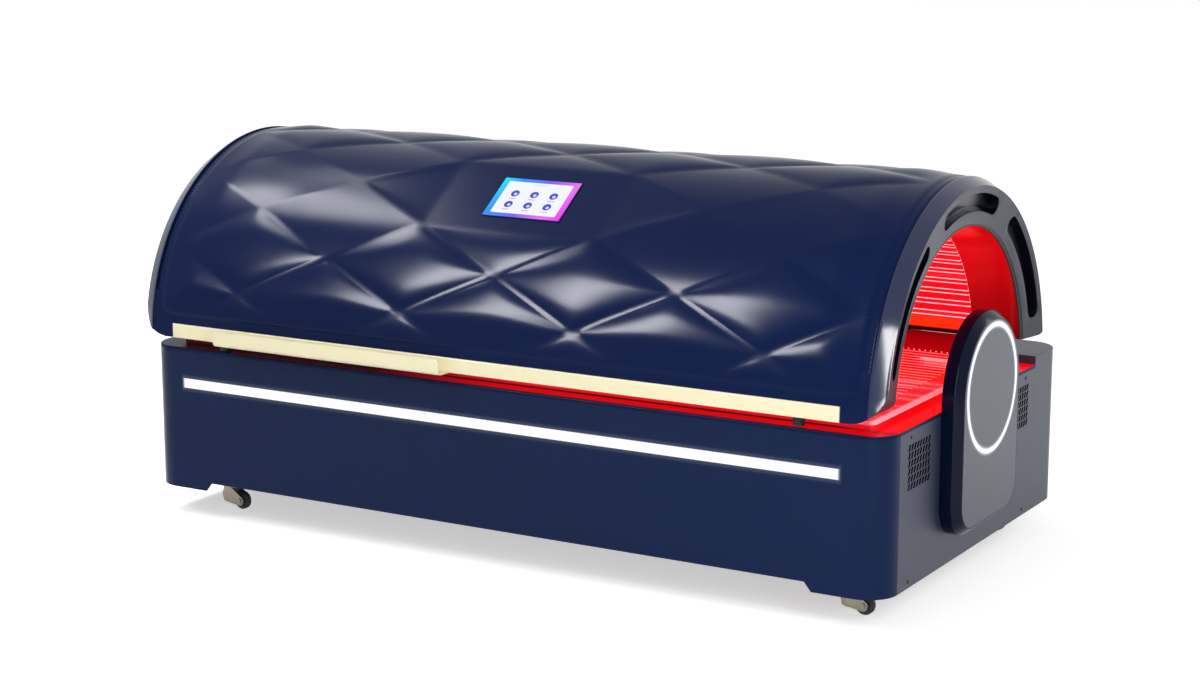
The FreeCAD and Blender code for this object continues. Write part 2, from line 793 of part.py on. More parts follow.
beam_outer = axis_y + math.sqrt(canopy_radius ** 2 - (rear_beam_top - axis_z) ** 2)
round_y = beam_outer - rear_corner
rear_edge = beam_outer + rear_edge_margin
front_keep = box(0, half_length, axis_y - far, axis_y, canopy_front_bottom, axis_z + far)
front_keep = rounded(front_keep, end_corner,
                     lambda c: near(c.x, half_length) and near(c.z, canopy_front_bottom))
rear_keep = box(0, half_length, axis_y, rear_edge, canopy_rear_bottom, axis_z + far)
rear_keep = rounded(rear_keep, rear_corner, lambda c: near(c.y, rear_edge) and near(c.z, canopy_rear_bottom))
front_waste = box(0, half_length, axis_y - far, axis_y, axis_z - far, axis_z + far).cut(front_keep)
rear_waste = box(0, half_length, axis_y, axis_y + far, axis_z - far, axis_z + far).cut(rear_keep)
foot = box(band_edge, half_length, axis_y - far, axis_y, axis_z - far, canopy_front_bottom + end_fill)
cavity = arch_revolve(cavity_section, -cap_turn, 2 * cap_turn).cut(foot)
band_ring = arch_shell(canopy_radius - end_wall - 1, far, rail_half, band_edge,
                       canopy_front_bottom, canopy_front_bottom)
field_front = band_ring.common(skin_field(band_edge, rail_top, skin_corner, axis_y - far, axis_y))
field_rear = band_ring.common(box(0, half_length, axis_y, axis_y + far, axis_z - far, axis_z + far))
cap = arch_revolve(cap_section, -cap_turn, 2 * cap_turn)
cap = cap.cut([cavity, front_waste, rear_waste]).cut([field_front, field_rear])
cap = cap.cut([arc_slot(angle) for angle in (-slot_angle, 0, slot_angle)])
for name, side in sides:
    save("canopy_end_" + name, on_side(cap, side))


# Quilted canopy skin: a formed sheet of even wall, its facets following the creases
half_arc = math.radians(quilt_half_angle) * canopy_radius
facet_drop = half_arc ** 2 / (2 * canopy_radius)


def ridge(x):
    return quilt_rise * (1 + math.cos(math.pi * x / quilt_half_width)) / 2


def screen_facet(x, arc):
    """Height over the six-sided flat around the screen, or None outside it."""
    spread = abs(x) / quilt_half_width
    edge = half_arc * min(1.0, 2 - spread)
    if spread >= 2 or abs(arc) >= edge:
        return None
    floor = (quilt_rise - facet_drop) * edge / half_arc
    rim_height = ridge(x) if spread < 1 else 0.0
    lift = rim_height - floor - edge ** 2 / (2 * canopy_radius)
    return floor + arc ** 2 / (2 * canopy_radius) + lift * (arc / edge) ** 4


def quilt_height(x, degrees):
    arc = math.radians(degrees - screen_angle) * canopy_radius
    flat = screen_facet(x, arc)
    if flat is not None:
        return flat
    pillow = abs(math.cos(math.pi * arc / half_arc) - math.cos(math.pi * x / quilt_half_width)) / 2
    inset = min(skin_half - abs(x), math.radians(degrees - skin_front) * canopy_radius,
                math.radians(skin_rear - degrees) * canopy_radius)
    fade = min(1.0, max(0.0, inset / quilt_fade))
    return quilt_rise * pillow * fade * fade * (3 - 2 * fade)


skin_half = band_edge - band_gap
skin_front = -math.degrees(math.acos((rail_top + band_gap - axis_z) / canopy_radius))
skin_rear = math.degrees(math.acos((rear_beam_top + seat_gap - axis_z) / (canopy_radius - skin_wall)))
step_x = quilt_half_width / quilt_steps
step_turn = quilt_half_angle / quilt_steps
column_reach = int((skin_half - step_x / 2) / step_x)
front_steps = int((screen_angle - skin_front - step_turn / 2) / step_turn)
rear_steps = int((skin_rear - screen_angle - step_turn / 2) / step_turn)
columns = list(range(-column_reach - 1, column_reach + 2))
rows = list(range(-front_steps - 1, rear_steps + 2))
column_x = [max(-skin_half, min(skin_half, i * step_x)) for i in columns]
column_x[0] = -skin_half
column_x[-1] = skin_half
row_turn = [screen_angle + j * step_turn for j in rows]
row_turn[0] = skin_front
row_turn[-1] = skin_rear
outer = [[arch_point(x, canopy_radius + quilt_height(x, turn), turn) for turn in row_turn] for x in column_x]
inner = [[arch_point(x, canopy_radius + quilt_height(x, turn) - skin_wall, turn) for turn in row_turn]
         for x in column_x]


def facet(*corners):
    return Part.Face(Part.makePolygon(list(corners) + [corners[0]]))


facets = []
for i in range(len(columns) - 1):
    for j in range(len(rows) - 1):
        crease = (columns[i] // quilt_steps + rows[j] // quilt_steps) % 2 == 0
        for net in (outer, inner):
            a, b, c, d = net[i][j], net[i + 1][j], net[i + 1][j + 1], net[i][j + 1]
            if crease:
                facets += [facet(a, b, c), facet(a, c, d)]
            else:
                facets += [facet(a, b, d), facet(b, c, d)]
for j in range(len(rows) - 1):
    for i in (0, -1):
        facets.append(facet(outer[i][j], outer[i][j + 1], inner[i][j + 1], inner[i][j]))
for i in range(len(columns) - 1):
    for j in (0, -1):
        facets.append(facet(outer[i][j], outer[i + 1][j], inner[i + 1][j], inner[i][j]))
skin_shell = Part.Shell(facets)
skin_shell.sewShape()
skin = Part.Solid(skin_shell)
if skin.Volume < 0:
    skin.reverse()
skin_bottom = rail_top + band_gap
corner_room = box(-far - half_length, far + half_length, axis_y - 2 * far, axis_y,
                  axis_z, skin_bottom + skin_corner)
corner_room = corner_room.cut(skin_field(skin_half, skin_bottom, skin_corner - band_gap,
                                         axis_y - 2 * far, axis_y))

# Touch screen: flanged bezel through a window in the skin, glass flush in the bezel
screen_level = canopy_radius + quilt_rise - facet_drop


def on_facet(shape):
    shape.rotate(V(0, 0, 0), V(1, 0, 0), -screen_angle)
    return shape.translated(V(screen_offset, axis_y, axis_z))


def screen_block(grow, z0, z1):
    half_x = screen_width / 2 + grow
    half_y = screen_height / 2 + grow
    return box(-half_x, half_x, -half_y, half_y, z0, z1)


flange_low = screen_level + seat_gap
flange_high = flange_low + bezel_flange
body_grow = bezel_border / 3
skin_window = on_facet(screen_block(body_grow + bezel_clearance, screen_level - 2 * bezel_body,
                                    screen_level + bezel_body))
save("canopy_skin", skin.cut([corner_room, skin_window]))
bezel = fused([screen_block(bezel_border, flange_low, flange_high),
               screen_block(body_grow, flange_low - bezel_body, flange_low)])
bezel = bezel.cut(screen_block(seat_gap, flange_high - screen_wall, flange_high))
save("screen_bezel", on_facet(bezel))
save("touch_screen", on_facet(screen_block(0, flange_high - screen_wall, flange_high)))

# Canopy beams, ribs, reflector, LED strips and clear liner
liner_in = inner_radius - liner_wall
reflector_in = inner_radius + reflector_gap
reflector_out = reflector_in + reflector_wall
front_beam_in = axis_y - math.sqrt(liner_in ** 2 - (rail_top - axis_z) ** 2)
rear_beam_in = axis_y + math.sqrt(liner_in ** 2 - (rear_beam_top - axis_z) ** 2)
lip_room = rod_x(lip_end - seat_gap, half_length, axis_y, axis_z, inner_radius + end_wall + seat_gap)
front_beam = box(-rail_half, rail_half, rail_back, front_beam_in, canopy_front_bottom, rail_top)
front_hollow = box(-rail_half, rail_half, rail_back + beam_wall,
                   axis_y - inner_radius - end_wall - beam_wall,
                   canopy_front_bottom + beam_wall, rail_top - beam_wall)
save("canopy_front_beam", front_beam.cut([front_hollow, lip_room, mirrored(lip_room)]))
beam_end = band_edge - seat_gap
rear_beam = box(-beam_end, beam_end, rear_beam_in, beam_outer, canopy_rear_bottom, rear_beam_top)
rear_beam = rounded(rear_beam, rear_corner - seat_gap,
                    lambda c: near(c.y, beam_outer) and near(c.z, canopy_rear_bottom))
rear_hollow = box(-beam_end, beam_end, axis_y + inner_radius + end_wall + beam_wall, round_y,
                  canopy_rear_bottom + beam_wall, rear_beam_top - beam_wall)
save("canopy_rear_beam", rear_beam.cut([rear_hollow, lip_room, mirrored(lip_room)]))
rib_out = canopy_radius * math.cos(math.radians(step_turn / 2)) - skin_wall - seat_gap
rib = arch_shell(reflector_out + seat_gap, rib_out, rib_place - rib_wall / 2, rib_place + rib_wall / 2,
                 rail_top, rear_beam_top)
save("canopy_ribs", rib, mirrored(rib))
inside = lip_end - seat_gap
save("canopy_reflector", arch_shell(reflector_in, reflector_out, -inside, inside, rail_top, rear_beam_top))
save("canopy_liner", arch_shell(liner_in, inner_radius, -inside, inside, rail_top, rear_beam_top))
strip_turn = math.degrees(led_strip_pitch / reflector_in)
led_count = int((led_last_angle - led_first_angle) / strip_turn) + 1
strip_level = math.sqrt(reflector_in ** 2 - (led_strip_width / 2) ** 2) - seat_gap
led_strips = []
for step in range(led_count):
    strip = box(-inside, inside, -led_strip_width / 2, led_strip_width / 2,
                strip_level - led_strip_height, strip_level)
    strip.rotate(V(0, 0, 0), V(-1, 0, 0), led_first_angle + step * strip_turn)
    led_strips.append(strip.translated(V(0, axis_y, axis_z)))
save("canopy_led_strips", *led_strips)

# Trim rail, and the lift handle: a J-shaped pull open at the top
rail = box(-rail_half, rail_half, rail_front, rail_back, canopy_front_bottom, rail_top)
save("trim_rail", rounded(rail, rail_round, lambda c: near(c.y, rail_front)))
handle_front = rail_front - handle_projection
curl_y = handle_front + handle_curl
curl_z = canopy_front_bottom - handle_wall + handle_curl
blade = box(handle_left, handle_right, handle_front, handle_front + handle_wall, curl_z, handle_top)
blade = rounded(blade, handle_corner,
                lambda c: near(c.z, handle_top) and (near(c.x, handle_left) or near(c.x, handle_right)))
curl = rod_x(handle_left, handle_right, curl_y, curl_z, handle_curl)
curl = curl.cut(rod_x(handle_left, handle_right, curl_y, curl_z, handle_curl - handle_wall))
curl = curl.common(box(handle_left, handle_right, handle_front, curl_y, curl_z - handle_curl, curl_z))
handle_foot = box(handle_left, handle_right, curl_y, rail_front + handle_flange,
                  canopy_front_bottom - handle_wall, canopy_front_bottom)
save("lift_handle", fused([blade, curl, handle_foot]))

# Canopy hinge: cranked arms on pins between the ears of brackets that stand on the hinge beam
arm_in = hinge_place - arm_wall / 2
arm_out = hinge_place + arm_wall / 2
arm_foot_low = canopy_rear_bottom - arm_foot_wall
lever_turn = math.radians(strut_lever_angle)
stud = V(arm_out, hinge_y + strut_lever * math.cos(lever_turn), hinge_z + strut_lever * math.sin(lever_turn))
boss = rod_x(arm_in, arm_out, hinge_y, hinge_z, arm_boss)
upright = box(arm_in, arm_out, hinge_y - arm_boss, hinge_y + arm_boss, hinge_z, arm_foot_low)
crank = box(arm_in, arm_out, housing_front + arm_slot_clearance, hinge_y,
            arm_foot_low - arm_crank, arm_foot_low)
arm_foot = box(hinge_place - arm_foot_width / 2, hinge_place + arm_foot_width / 2, round_y - arm_foot_length,
               round_y, arm_foot_low, canopy_rear_bottom)
lever = tangent_hull(V(arm_in, hinge_y, hinge_z), arm_boss, V(arm_in, stud.y, stud.z), 2 * strut_stud_radius,
                     V(arm_wall, 0, 0))
stud_pin = rod(stud, stud + V(strut_stud_length, 0, 0), strut_stud_radius)
arm = fused([boss, upright, crank, arm_foot, lever, stud_pin])
arm = arm.cut(rod_x(arm_in, arm_out, hinge_y, hinge_z, hinge_pin_radius + pin_clearance))
save("hinge_arms", arm, mirrored(arm))

ear_near = arm_in - ear_gap
ear_far = arm_out + ear_gap
bracket_top = hinge_beam_top + bracket_wall
ears = []
for ear_x in (ear_near - ear_wall, ear_far):
    ears.append(rod_x(ear_x, ear_x + ear_wall, hinge_y, hinge_z, arm_boss))
    ears.append(box(ear_x, ear_x + ear_wall, hinge_y - arm_boss, hinge_y + arm_boss, bracket_top, hinge_z))
bracket_plate = box(ear_near - ear_wall - bracket_margin, ear_far + ear_wall + bracket_margin,
                    hinge_beam_front, hinge_beam_front + hinge_beam_depth, hinge_beam_top, bracket_top)
bracket = fused(ears + [bracket_plate])
bracket = bracket.cut(rod_x(ear_near - ear_wall, ear_far + ear_wall, hinge_y, hinge_z, hinge_pin_radius))
save("hinge_brackets", bracket, mirrored(bracket))
pin_start = ear_near - ear_wall
hinge_pin = fused([rod_x(pin_start - hinge_pin_head_wall, pin_start, hinge_y, hinge_z, hinge_pin_head),
                   rod_x(pin_start, ear_far + ear_wall, hinge_y, hinge_z, hinge_pin_radius)])
save("hinge_pins", hinge_pin, mirrored(hinge_pin))

# Gas struts: the base eye turns on an anchor pin, the rod eye is loose round the stud of the arm
strut_x = arm_out + strut_eye_gap
strut_base = V(strut_x, strut_base_y, strut_base_z)
strut_top = V(strut_x, stud.y, stud.z)
strut_run = (strut_top - strut_base).normalize()
eye_width = V(strut_eye_wall, 0, 0)
strut_middle = eye_width * 0.5
anchor_in = arm_out - strut_anchor_wall
anchor_wall = box(anchor_in, arm_out, strut_base_y - strut_base_eye, strut_base_y + strut_base_eye,
                  lower_top, strut_base_z + strut_base_eye)
anchor = fused([anchor_wall, rod_x(anchor_in, strut_x + strut_eye_wall, strut_base_y, strut_base_z,
                                   strut_stud_radius)])
save("strut_anchors", anchor, mirrored(anchor))
tube_start = strut_base + strut_middle + strut_run * (strut_base_eye + strut_neck)
tube_end = strut_base + strut_middle + strut_run * strut_cylinder_length
neck = rod(strut_base + strut_middle + strut_run * (strut_base_eye / 2), tube_start, strut_rod_radius)
base_eye = rod(strut_base, strut_base + eye_width, strut_base_eye)
cylinder = fused([base_eye, neck, rod(tube_start, tube_end, strut_cylinder_radius)])
rod_end = tube_end - strut_run * strut_rod_engaged
cylinder = cylinder.cut([rod(strut_base, strut_base + eye_width, strut_stud_radius + pin_clearance),
                         rod(rod_end - strut_run * fork_play, tube_end, strut_rod_radius + pin_clearance)])
eye = rod(strut_top, strut_top + eye_width, strut_eye_radius)
strut_rod = fused([eye, rod(rod_end, strut_top + strut_middle, strut_rod_radius)])
strut_rod = strut_rod.cut(rod(strut_top, strut_top + eye_width, strut_eye_hole))
for name, side in sides:
    save("strut_cylinder_" + name, on_side(cylinder, side))
    save("strut_rod_" + name, on_side(strut_rod, side))
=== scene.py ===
import math
from functools import partial

import bmesh
import bpy
from bpy.props import FloatProperty, FloatVectorProperty, IntProperty, PointerProperty
from mathutils import Matrix, Vector


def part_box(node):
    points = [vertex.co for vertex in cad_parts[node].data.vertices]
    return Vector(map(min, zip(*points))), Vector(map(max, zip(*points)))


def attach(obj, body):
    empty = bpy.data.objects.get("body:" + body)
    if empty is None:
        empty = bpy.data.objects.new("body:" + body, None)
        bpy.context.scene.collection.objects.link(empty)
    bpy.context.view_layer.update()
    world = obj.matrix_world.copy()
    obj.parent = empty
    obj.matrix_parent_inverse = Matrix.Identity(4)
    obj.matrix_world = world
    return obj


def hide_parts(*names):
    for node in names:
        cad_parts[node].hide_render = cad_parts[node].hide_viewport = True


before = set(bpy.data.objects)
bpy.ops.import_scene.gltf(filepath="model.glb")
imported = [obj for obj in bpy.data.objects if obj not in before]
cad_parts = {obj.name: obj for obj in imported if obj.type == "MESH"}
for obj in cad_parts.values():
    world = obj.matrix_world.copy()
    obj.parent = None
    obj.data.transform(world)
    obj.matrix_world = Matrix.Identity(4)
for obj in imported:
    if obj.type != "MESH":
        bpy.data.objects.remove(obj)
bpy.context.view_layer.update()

bl_info = {
    "name": "Light therapy bed looks",
    "version": (1, 0, 0),
    "blender": (4, 5, 0),
    "location": "3D View > Sidebar > Light Bed",
    "description": "Dresses the light therapy bed with its quilted skin, trim, lit interior and finishes",
    "category": "Object",
}

MM = 0.001
SIDES = (("left", -1), ("right", 1))
SQUARE = ((-1, -1), (1, -1), (1, 1), (-1, 1))
ALONG, ACROSS, UP = Vector((1, 0, 0)), Vector((0, 1, 0)), Vector((0, 0, 1))


# Settings

def linear(code):
    """sRGB hex code to linear RGBA."""
    channels = [int(code[i:i + 2], 16) / 255 for i in (1, 3, 5)]
    return [c / 12.92 if c <= 0.04045 else ((c + 0.055) / 1.055) ** 2.4 for c in channels] + [1.0]


def tint(name, code, words):
    """A colour that the user can change, with its default as a hex code."""
    return FloatVectorProperty(name=name, description=words, subtype="COLOR", size=4, min=0, max=1,
                               default=linear(code))


def length(name, size_mm, words):
    """A length that the user can change, with its default in millimetres."""
    return FloatProperty(name=name, description=words, default=size_mm * MM, unit="LENGTH", precision=4)


def angle(name, degrees, words):
    """An angle that the user can change, with its default in degrees."""
    return FloatProperty(name=name, description=words, default=math.radians(degrees), subtype="ANGLE")


def power(name, watts, words):
    """The power of a lamp, which the user can change."""
    return FloatProperty(name=name, description=words, default=watts, min=0, unit="POWER")


def factor(name, value, words):
    """A plain number that the user can change."""
    return FloatProperty(name=name, description=words, default=value, min=0)


class CanopySettings(bpy.types.PropertyGroup):
    radius: length("Arch radius", 505, "Outer radius of the canopy arch")
    axis_y: length("Arch middle", -43, "Place of the arch axis across the bed")
    axis_z: length("Arch height", 474, "Height of the arch axis")
    inner: length("Inner radius", 391, "Radius of the opening in the end caps")
    half_width: length("Quilt half width", 247.5, "Half the length of a quilt diamond along the bed")
    half_angle: angle("Quilt half angle", 13, "Half the height of a quilt diamond round the arch")
    rise: length("Quilt rise", 11, "Height of a pillow over its creases")
    softness: factor("Crease softness", 0.03, "Roundness of the crease bottoms")
    fade: length("Quilt fade", 110, "Distance over which the quilting fades at the border")
    border: length("Border", 22, "Flat border round the quilted field")
    step: length("Border step", 3, "Step from the border up to the field")
    corner: length("Corner", 53, "Radius of the two lower corners of the skin")
    screen_angle: angle("Screen angle", -34.5, "Angle of the screen from the crown, front negative")
    screen_x: length("Screen place", 15, "Place of the screen along the bed")


class FinishSettings(bpy.types.PropertyGroup):
    navy: tint("Navy", "#031740", "Moulded skin and cap bands")
    coat: tint("Navy coat", "#0A1E43", "Painted cabinet")
    satin: tint("Satin navy", "#272E40", "End panels, rear housing and column faces")
    cream: tint("Cream", "#EFE5BF", "Trim rail and lift handle")
    red: tint("Lit red", "#F00A18", "Canopy liner and bed field")
    deep_red: tint("Deep red", "#A80612", "Bolster in red light")
    pink: tint("LED pink", "#FFB4C0", "Lines of lit diodes")
    nickel: tint("Nickel", "#8C8478", "Caster forks")


class GlowSettings(bpy.types.PropertyGroup):
    white: factor("White light", 1.15, "Strength of the strip and the rings")
    field: factor("Red field", 0.75, "Strength of the lit red faces")
    lines: factor("LED lines", 1.1, "Strength of the lines of diodes")
    halo: factor("Spill", 0.35, "Strength of the light that spills round a lens")
    screen: factor("Screen", 1.0, "Strength of the display")


class StageSettings(bpy.types.PropertyGroup):
    azimuth: angle("Azimuth", 30.365, "Camera angle round the bed")
    elevation: angle("Elevation", 11.432, "Camera angle over the floor")
    distance: length("Distance", 6357.5, "Camera to target")
    target: FloatVectorProperty(name="Target", description="Point the camera looks at", subtype="XYZ",
                                default=(-0.0035, 0.030, 0.4816))
    lens: FloatProperty(name="Lens", description="Focal length on a 36 mm wide frame", default=73.47,
                        unit="CAMERA")
    floor: tint("Floor", "#F4F4F5", "Plain pale floor")
    ambient: factor("Ambient", 0.22, "Even light from all round")
    overhead: power("Overhead box", 26, "Power of the box over the bed")
    side: power("Left box", 138, "Power of the box at the front left, seen in matt light alone")
    card: power("Left card", 460, "Power of the pale card at the front left, seen in gloss alone")
    top_card: power("Top card", 64, "Power of the pale card at the upper left, seen in gloss alone")
    front: power("Front box", 52, "Power of the box at the right front")
    end: power("End box", 75, "Power of the box at the right rear")
    near_lift: factor("Near floor lift", 0.58, "How far the paper is lifted to white near the bed")
    lift: factor("Floor lift", 0.85, "How far the paper is lifted to white for the eye")


class BedSettings(bpy.types.PropertyGroup):
    canopy: PointerProperty(type=CanopySettings)
    finish: PointerProperty(type=FinishSettings)
    glow: PointerProperty(type=GlowSettings)
    stage: PointerProperty(type=StageSettings)


# Nodes

def fill(node, inputs):
    """Sets a node's inputs, by name or in order, to values or to links from other nodes."""
    for key, value in inputs.items() if isinstance(inputs, dict) else enumerate(inputs):
        if isinstance(value, bpy.types.NodeSocket):
            node.id_data.links.new(value, node.inputs[key])
        else:
            node.inputs[key].default_value = value


def add_node(tree, kind, inputs=(), out=None, **settings):
    """Adds a shader node with its settings, values and links, and gives its named or first output."""
    node = tree.nodes.new("ShaderNode" + kind)
    for name, value in settings.items():
        setattr(node, name, value)
    fill(node, inputs)
    if out:
        return node.outputs[out]
    return next(socket for socket in node.outputs if not socket.is_unavailable)


def nodes_of(made):
    """A call that adds nodes to a material, and its principled shader."""
    return partial(add_node, made.node_tree), made.node_tree.nodes["Principled BSDF"]


def new_material(name, **values):
    """A material with only a principled shader, whose sockets get the given values."""
    made = bpy.data.materials.new(name)
    made.use_nodes = True
    add, shader = nodes_of(made)
    fill(shader, {key.replace("_", " "): value for key, value in values.items()})
    return made, add, shader


def per_mm(size):
    """Noise scale for features of a real size in millimetres."""
    return 1 / (size * MM)


def span(start, end, low=0.0, high=1.0):
    """Range inputs for places from a start to an end in millimetres, and what they turn into."""
    return {"From Min": start * MM, "From Max": end * MM, "To Min": low, "To Max": high}


def shade(colour, share):
    """A colour made darker or paler by a share."""
    return [min(1.0, c * share) for c in colour[:3]] + [1.0]


def object_axes(add):
    """X, Y and Z of the place on the object."""
    place = add("TexCoord", out="Object")
    return add("SeparateXYZ", {"Vector": place}).node.outputs


def colour_stops(ramp, first, last, *between):
    """Sets the colours of a ramp: its two ends, and the places and colours between them."""
    stops = ramp.node.color_ramp.elements
    stops[0].color = linear(first)
    stops[1].color = linear(last)
    for place, code in between:
        stops.new(place).color = linear(code)


# Coated and plated finishes

CLOUD_MM = 90


def coated(name, colour, spread, grain, rough, vary, bump, **values):
    """A material whose colour, roughness and bump vary with noise; grain and bump are in millimetres."""
    made, add, shader = new_material(name, **values)
    place = add("TexCoord", out="Object")
    cloud = add("TexNoise", {"Vector": place, "Scale": per_mm(CLOUD_MM), "Detail": 2.0})
    grit = add("TexNoise", {"Vector": place, "Scale": per_mm(grain), "Detail": 3.0})
    tones = {"Factor": cloud, "A": shade(colour, 1 - spread), "B": shade(colour, 1 + spread)}
    smoother, rougher = rough - vary, rough + vary
    sheen = {"Value": grit, "From Min": 0.3, "From Max": 0.7, "To Min": smoother, "To Max": rougher}
    relief = {"Height": grit, "Strength": 0.35, "Distance": bump * MM}
    fill(shader, {"Base Color": add("Mix", tones, data_type="RGBA"),
                  "Roughness": add("MapRange", sheen),
                  "Normal": add("Bump", relief)})
    return made


def moulded_navy(bed):
    # Thermoformed gloss ABS: deep colour under a clear top, with a faint waviness from the mould
    return coated("navy_moulded_abs", bed.finish.navy, spread=0.06, grain=45, rough=0.2, vary=0.01,
                  bump=0.02, IOR=1.5, Specular_IOR_Level=0.08)


def column_navy(bed):
    # Gloss ABS of the column shells: the skin's plastic, darkened near black as painted shade of the sides
    return coated("navy_deep_abs", linear("#020C26"), spread=0.06, grain=45, rough=0.18, vary=0.01,
                  bump=0.02, IOR=1.5, Specular_IOR_Level=0.12)


def band_navy(bed):
    # Polished ABS of the cap bands: a harder gloss than the skin, in which a box draws a white streak
    return coated("navy_polished_band", bed.finish.navy, spread=0.06, grain=45, rough=0.12, vary=0.01,
                  bump=0.01, IOR=1.5, Specular_IOR_Level=0.52)


def satin_navy(bed):
    # Satin powder coat: an even fine grit that spreads the room's light into a grey sheen
    return coated("navy_satin_powder", bed.finish.satin, spread=0.06, grain=2.5, rough=0.42, vary=0.04,
                  bump=0.05, IOR=1.5, Specular_IOR_Level=0.35)


def cap_satin(bed):
    # Darker satin coat of the end caps: a soft grey sheen on the crown, near black at the front
    return coated("navy_dark_satin", linear("#161D30"), spread=0.06, grain=2.5, rough=0.34, vary=0.03,
                  bump=0.03, IOR=1.5, Specular_IOR_Level=0.25)


def slot_gloss(bed):
    # Polished ABS in the air slots and on the bead by the lip: near black as painted shade, with a soft
    # gleam on the floor
    return coated("navy_polished_abs", linear("#070A14"), spread=0.1, grain=30, rough=0.22, vary=0.02,
                  bump=0.02, IOR=1.5, Specular_IOR_Level=0.2)


def cream_coat(bed):
    # Satin cream powder coat on bent aluminium
    return coated("cream_satin_coat", bed.finish.cream, spread=0.03, grain=3, rough=0.4, vary=0.04,
                  bump=0.04, IOR=1.5)


def black_plastic(bed):
    # Moulded black ABS with a fine spark texture
    return coated("black_textured_abs", linear("#141416"), spread=0.15, grain=1.5, rough=0.5, vary=0.08,
                  bump=0.06, IOR=1.5, Specular_IOR_Level=0.2)


def black_rubber(bed):
    # Black rubber: dull, with a dusty bloom
    return coated("black_rubber", linear("#1B1B1C"), spread=0.25, grain=2, rough=0.72, vary=0.08,
                  bump=0.08, IOR=1.52)


def black_foam(bed):
    # Black, matt and pitted sheet in and behind the grilles: painted shade that makes the slots read black
    return coated("black_filter_foam", linear("#060607"), spread=0.4, grain=1.5, rough=0.9, vary=0.05,
                  bump=0.3, Specular_IOR_Level=0)


def frame_coat(bed):
    # Black powder coat on the folded channels
    return coated("black_powder_coat", linear("#242528"), spread=0.15, grain=2, rough=0.55, vary=0.06,
                  bump=0.08, IOR=1.5)


def black_steel(bed):
    # Blackened steel of the screws: dark metal with a worn gleam
    return coated("blackened_steel", linear("#2A2C32"), spread=0.2, grain=1.5, rough=0.38, vary=0.08,
                  bump=0.02, Metallic=0.8)


def satin_nickel(bed):
    # Satin nickel plate on die-cast forks: warm grey with soft streaks
    return coated("satin_nickel", bed.finish.nickel, spread=0.18, grain=4, rough=0.32, vary=0.07,
                  bump=0.03, Metallic=1.0)


def plain_steel(bed):
    # Ground steel of pins and strut rods
    return coated("ground_steel", linear("#B4B6B9"), spread=0.08, grain=2, rough=0.26, vary=0.05,
                  bump=0.02, Metallic=1.0)


def sheet_aluminium(bed):
    # Mill-finish aluminium sheet
    return coated("mill_aluminium", linear("#C3C5C8"), spread=0.06, grain=3, rough=0.38, vary=0.05,
                  bump=0.02, Metallic=1.0)


# White light: the strip, the rings and their spill

RING_HALF_MM = 7
HALO_MM = 9
HALO_FALL = 3.0
STRIP_SPILL = 0.12


def strip_edge(add):
    """Distance out from the edge of the light strip, below 0 inside it."""
    low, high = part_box("front_light_strip")
    place = add("TexCoord", out="Object")
    middle = add("VectorMath", (place, (low + high) / 2), operation="SUBTRACT")
    apart = add("VectorMath", (middle,), operation="ABSOLUTE")
    beyond = add("VectorMath", (apart, (high - low) / 2), operation="SUBTRACT")
    axes = add("SeparateXYZ", {"Vector": beyond}).node.outputs
    return add("Math", (axes["X"], axes["Z"]), operation="MAXIMUM")


def ring_edge(add):
    """Distance out from the edges of a ring light, below 0 inside it."""
    low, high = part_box("ring_light_right")
    half = RING_HALF_MM * MM
    place = add("TexCoord", out="Object")
    middle = add("VectorMath", (place, (low + high) / 2), operation="SUBTRACT")
    flat = add("VectorMath", (middle, ACROSS + UP), operation="MULTIPLY")
    radius = add("VectorMath", (flat,), operation="LENGTH")
    apart = add("Math", (radius, (high.y - low.y) / 2 - half), operation="SUBTRACT")
    reach = add("Math", (apart,), operation="ABSOLUTE")
    return add("Math", (reach, half), operation="SUBTRACT")


def opal_lens(bed, name, edge_of, base, mask, fade, dim):
    """Opal acrylic over white diodes, dim at its edges and white from a fade in millimetres inwards."""
    made, add, shader = new_material(name, Base_Color=linear(base), Roughness=0.35, IOR=1.49,
                                     Emission_Color=linear("#F7FAFF"))
    level = {"Value": edge_of(add), **span(-mask, -fade, dim, bed.glow.white)}
    fill(shader, {"Emission Strength": add("MapRange", level)})
    return made


def strip_lens(bed):
    # Opal acrylic of the front strip: white along the middle, dark where a mask covers its edges
    return opal_lens(bed, "lit_opal_strip", strip_edge, "#101F45", mask=1.5, fade=8.5, dim=0.042)


def ring_lens(bed):
    # Opal acrylic of the ring lights: white round the middle, softly dimmer to both edges
    return opal_lens(bed, "lit_opal_ring", ring_edge, "#7D8496", mask=0.0, fade=5.5, dim=0.2)


def add_halo(made, edge_of, strength):
    """Light that spills from an opal lens onto the face round it, by distance from the lens."""
    add, shader = nodes_of(made)
    near = add("MapRange", {"Value": edge_of(add), **span(0, HALO_MM, 1.0, 0.0)})
    fall = add("Math", (near, HALO_FALL), operation="POWER")
    level = add("Math", (fall, strength), operation="MULTIPLY")
    fill(shader, {"Emission Color": linear("#EEF3FF"), "Emission Strength": level})


def strip_navy(bed):
    # Gloss stoved enamel of the front panel: even and deep, with the spill of the light strip round it
    made = coated("navy_stoved_enamel", bed.finish.coat, spread=0.06, grain=30, rough=0.22, vary=0.01,
                  bump=0.015, IOR=1.5, Specular_IOR_Level=0.09)
    add_halo(made, strip_edge, bed.glow.halo * STRIP_SPILL)
    return made


def satin_face(bed):
    # Satin powder coat of the column face, finer than the panels, with the spill of the ring light
    made = coated("navy_fine_satin", bed.finish.satin, spread=0.05, grain=1.5, rough=0.36, vary=0.03,
                  bump=0.02, IOR=1.5)
    add_halo(made, ring_edge, bed.glow.halo)
    return made


# Red light: faces that the diodes light, with places in millimetres

SOFT = {"interpolation_type": "SMOOTHSTEP"}
GAP_RUN = (-400, 150)
LIP_RUN = (500, 860)
BEAM_RUN = (400, 360)
LINE_RUN = (2.0, 0.8)
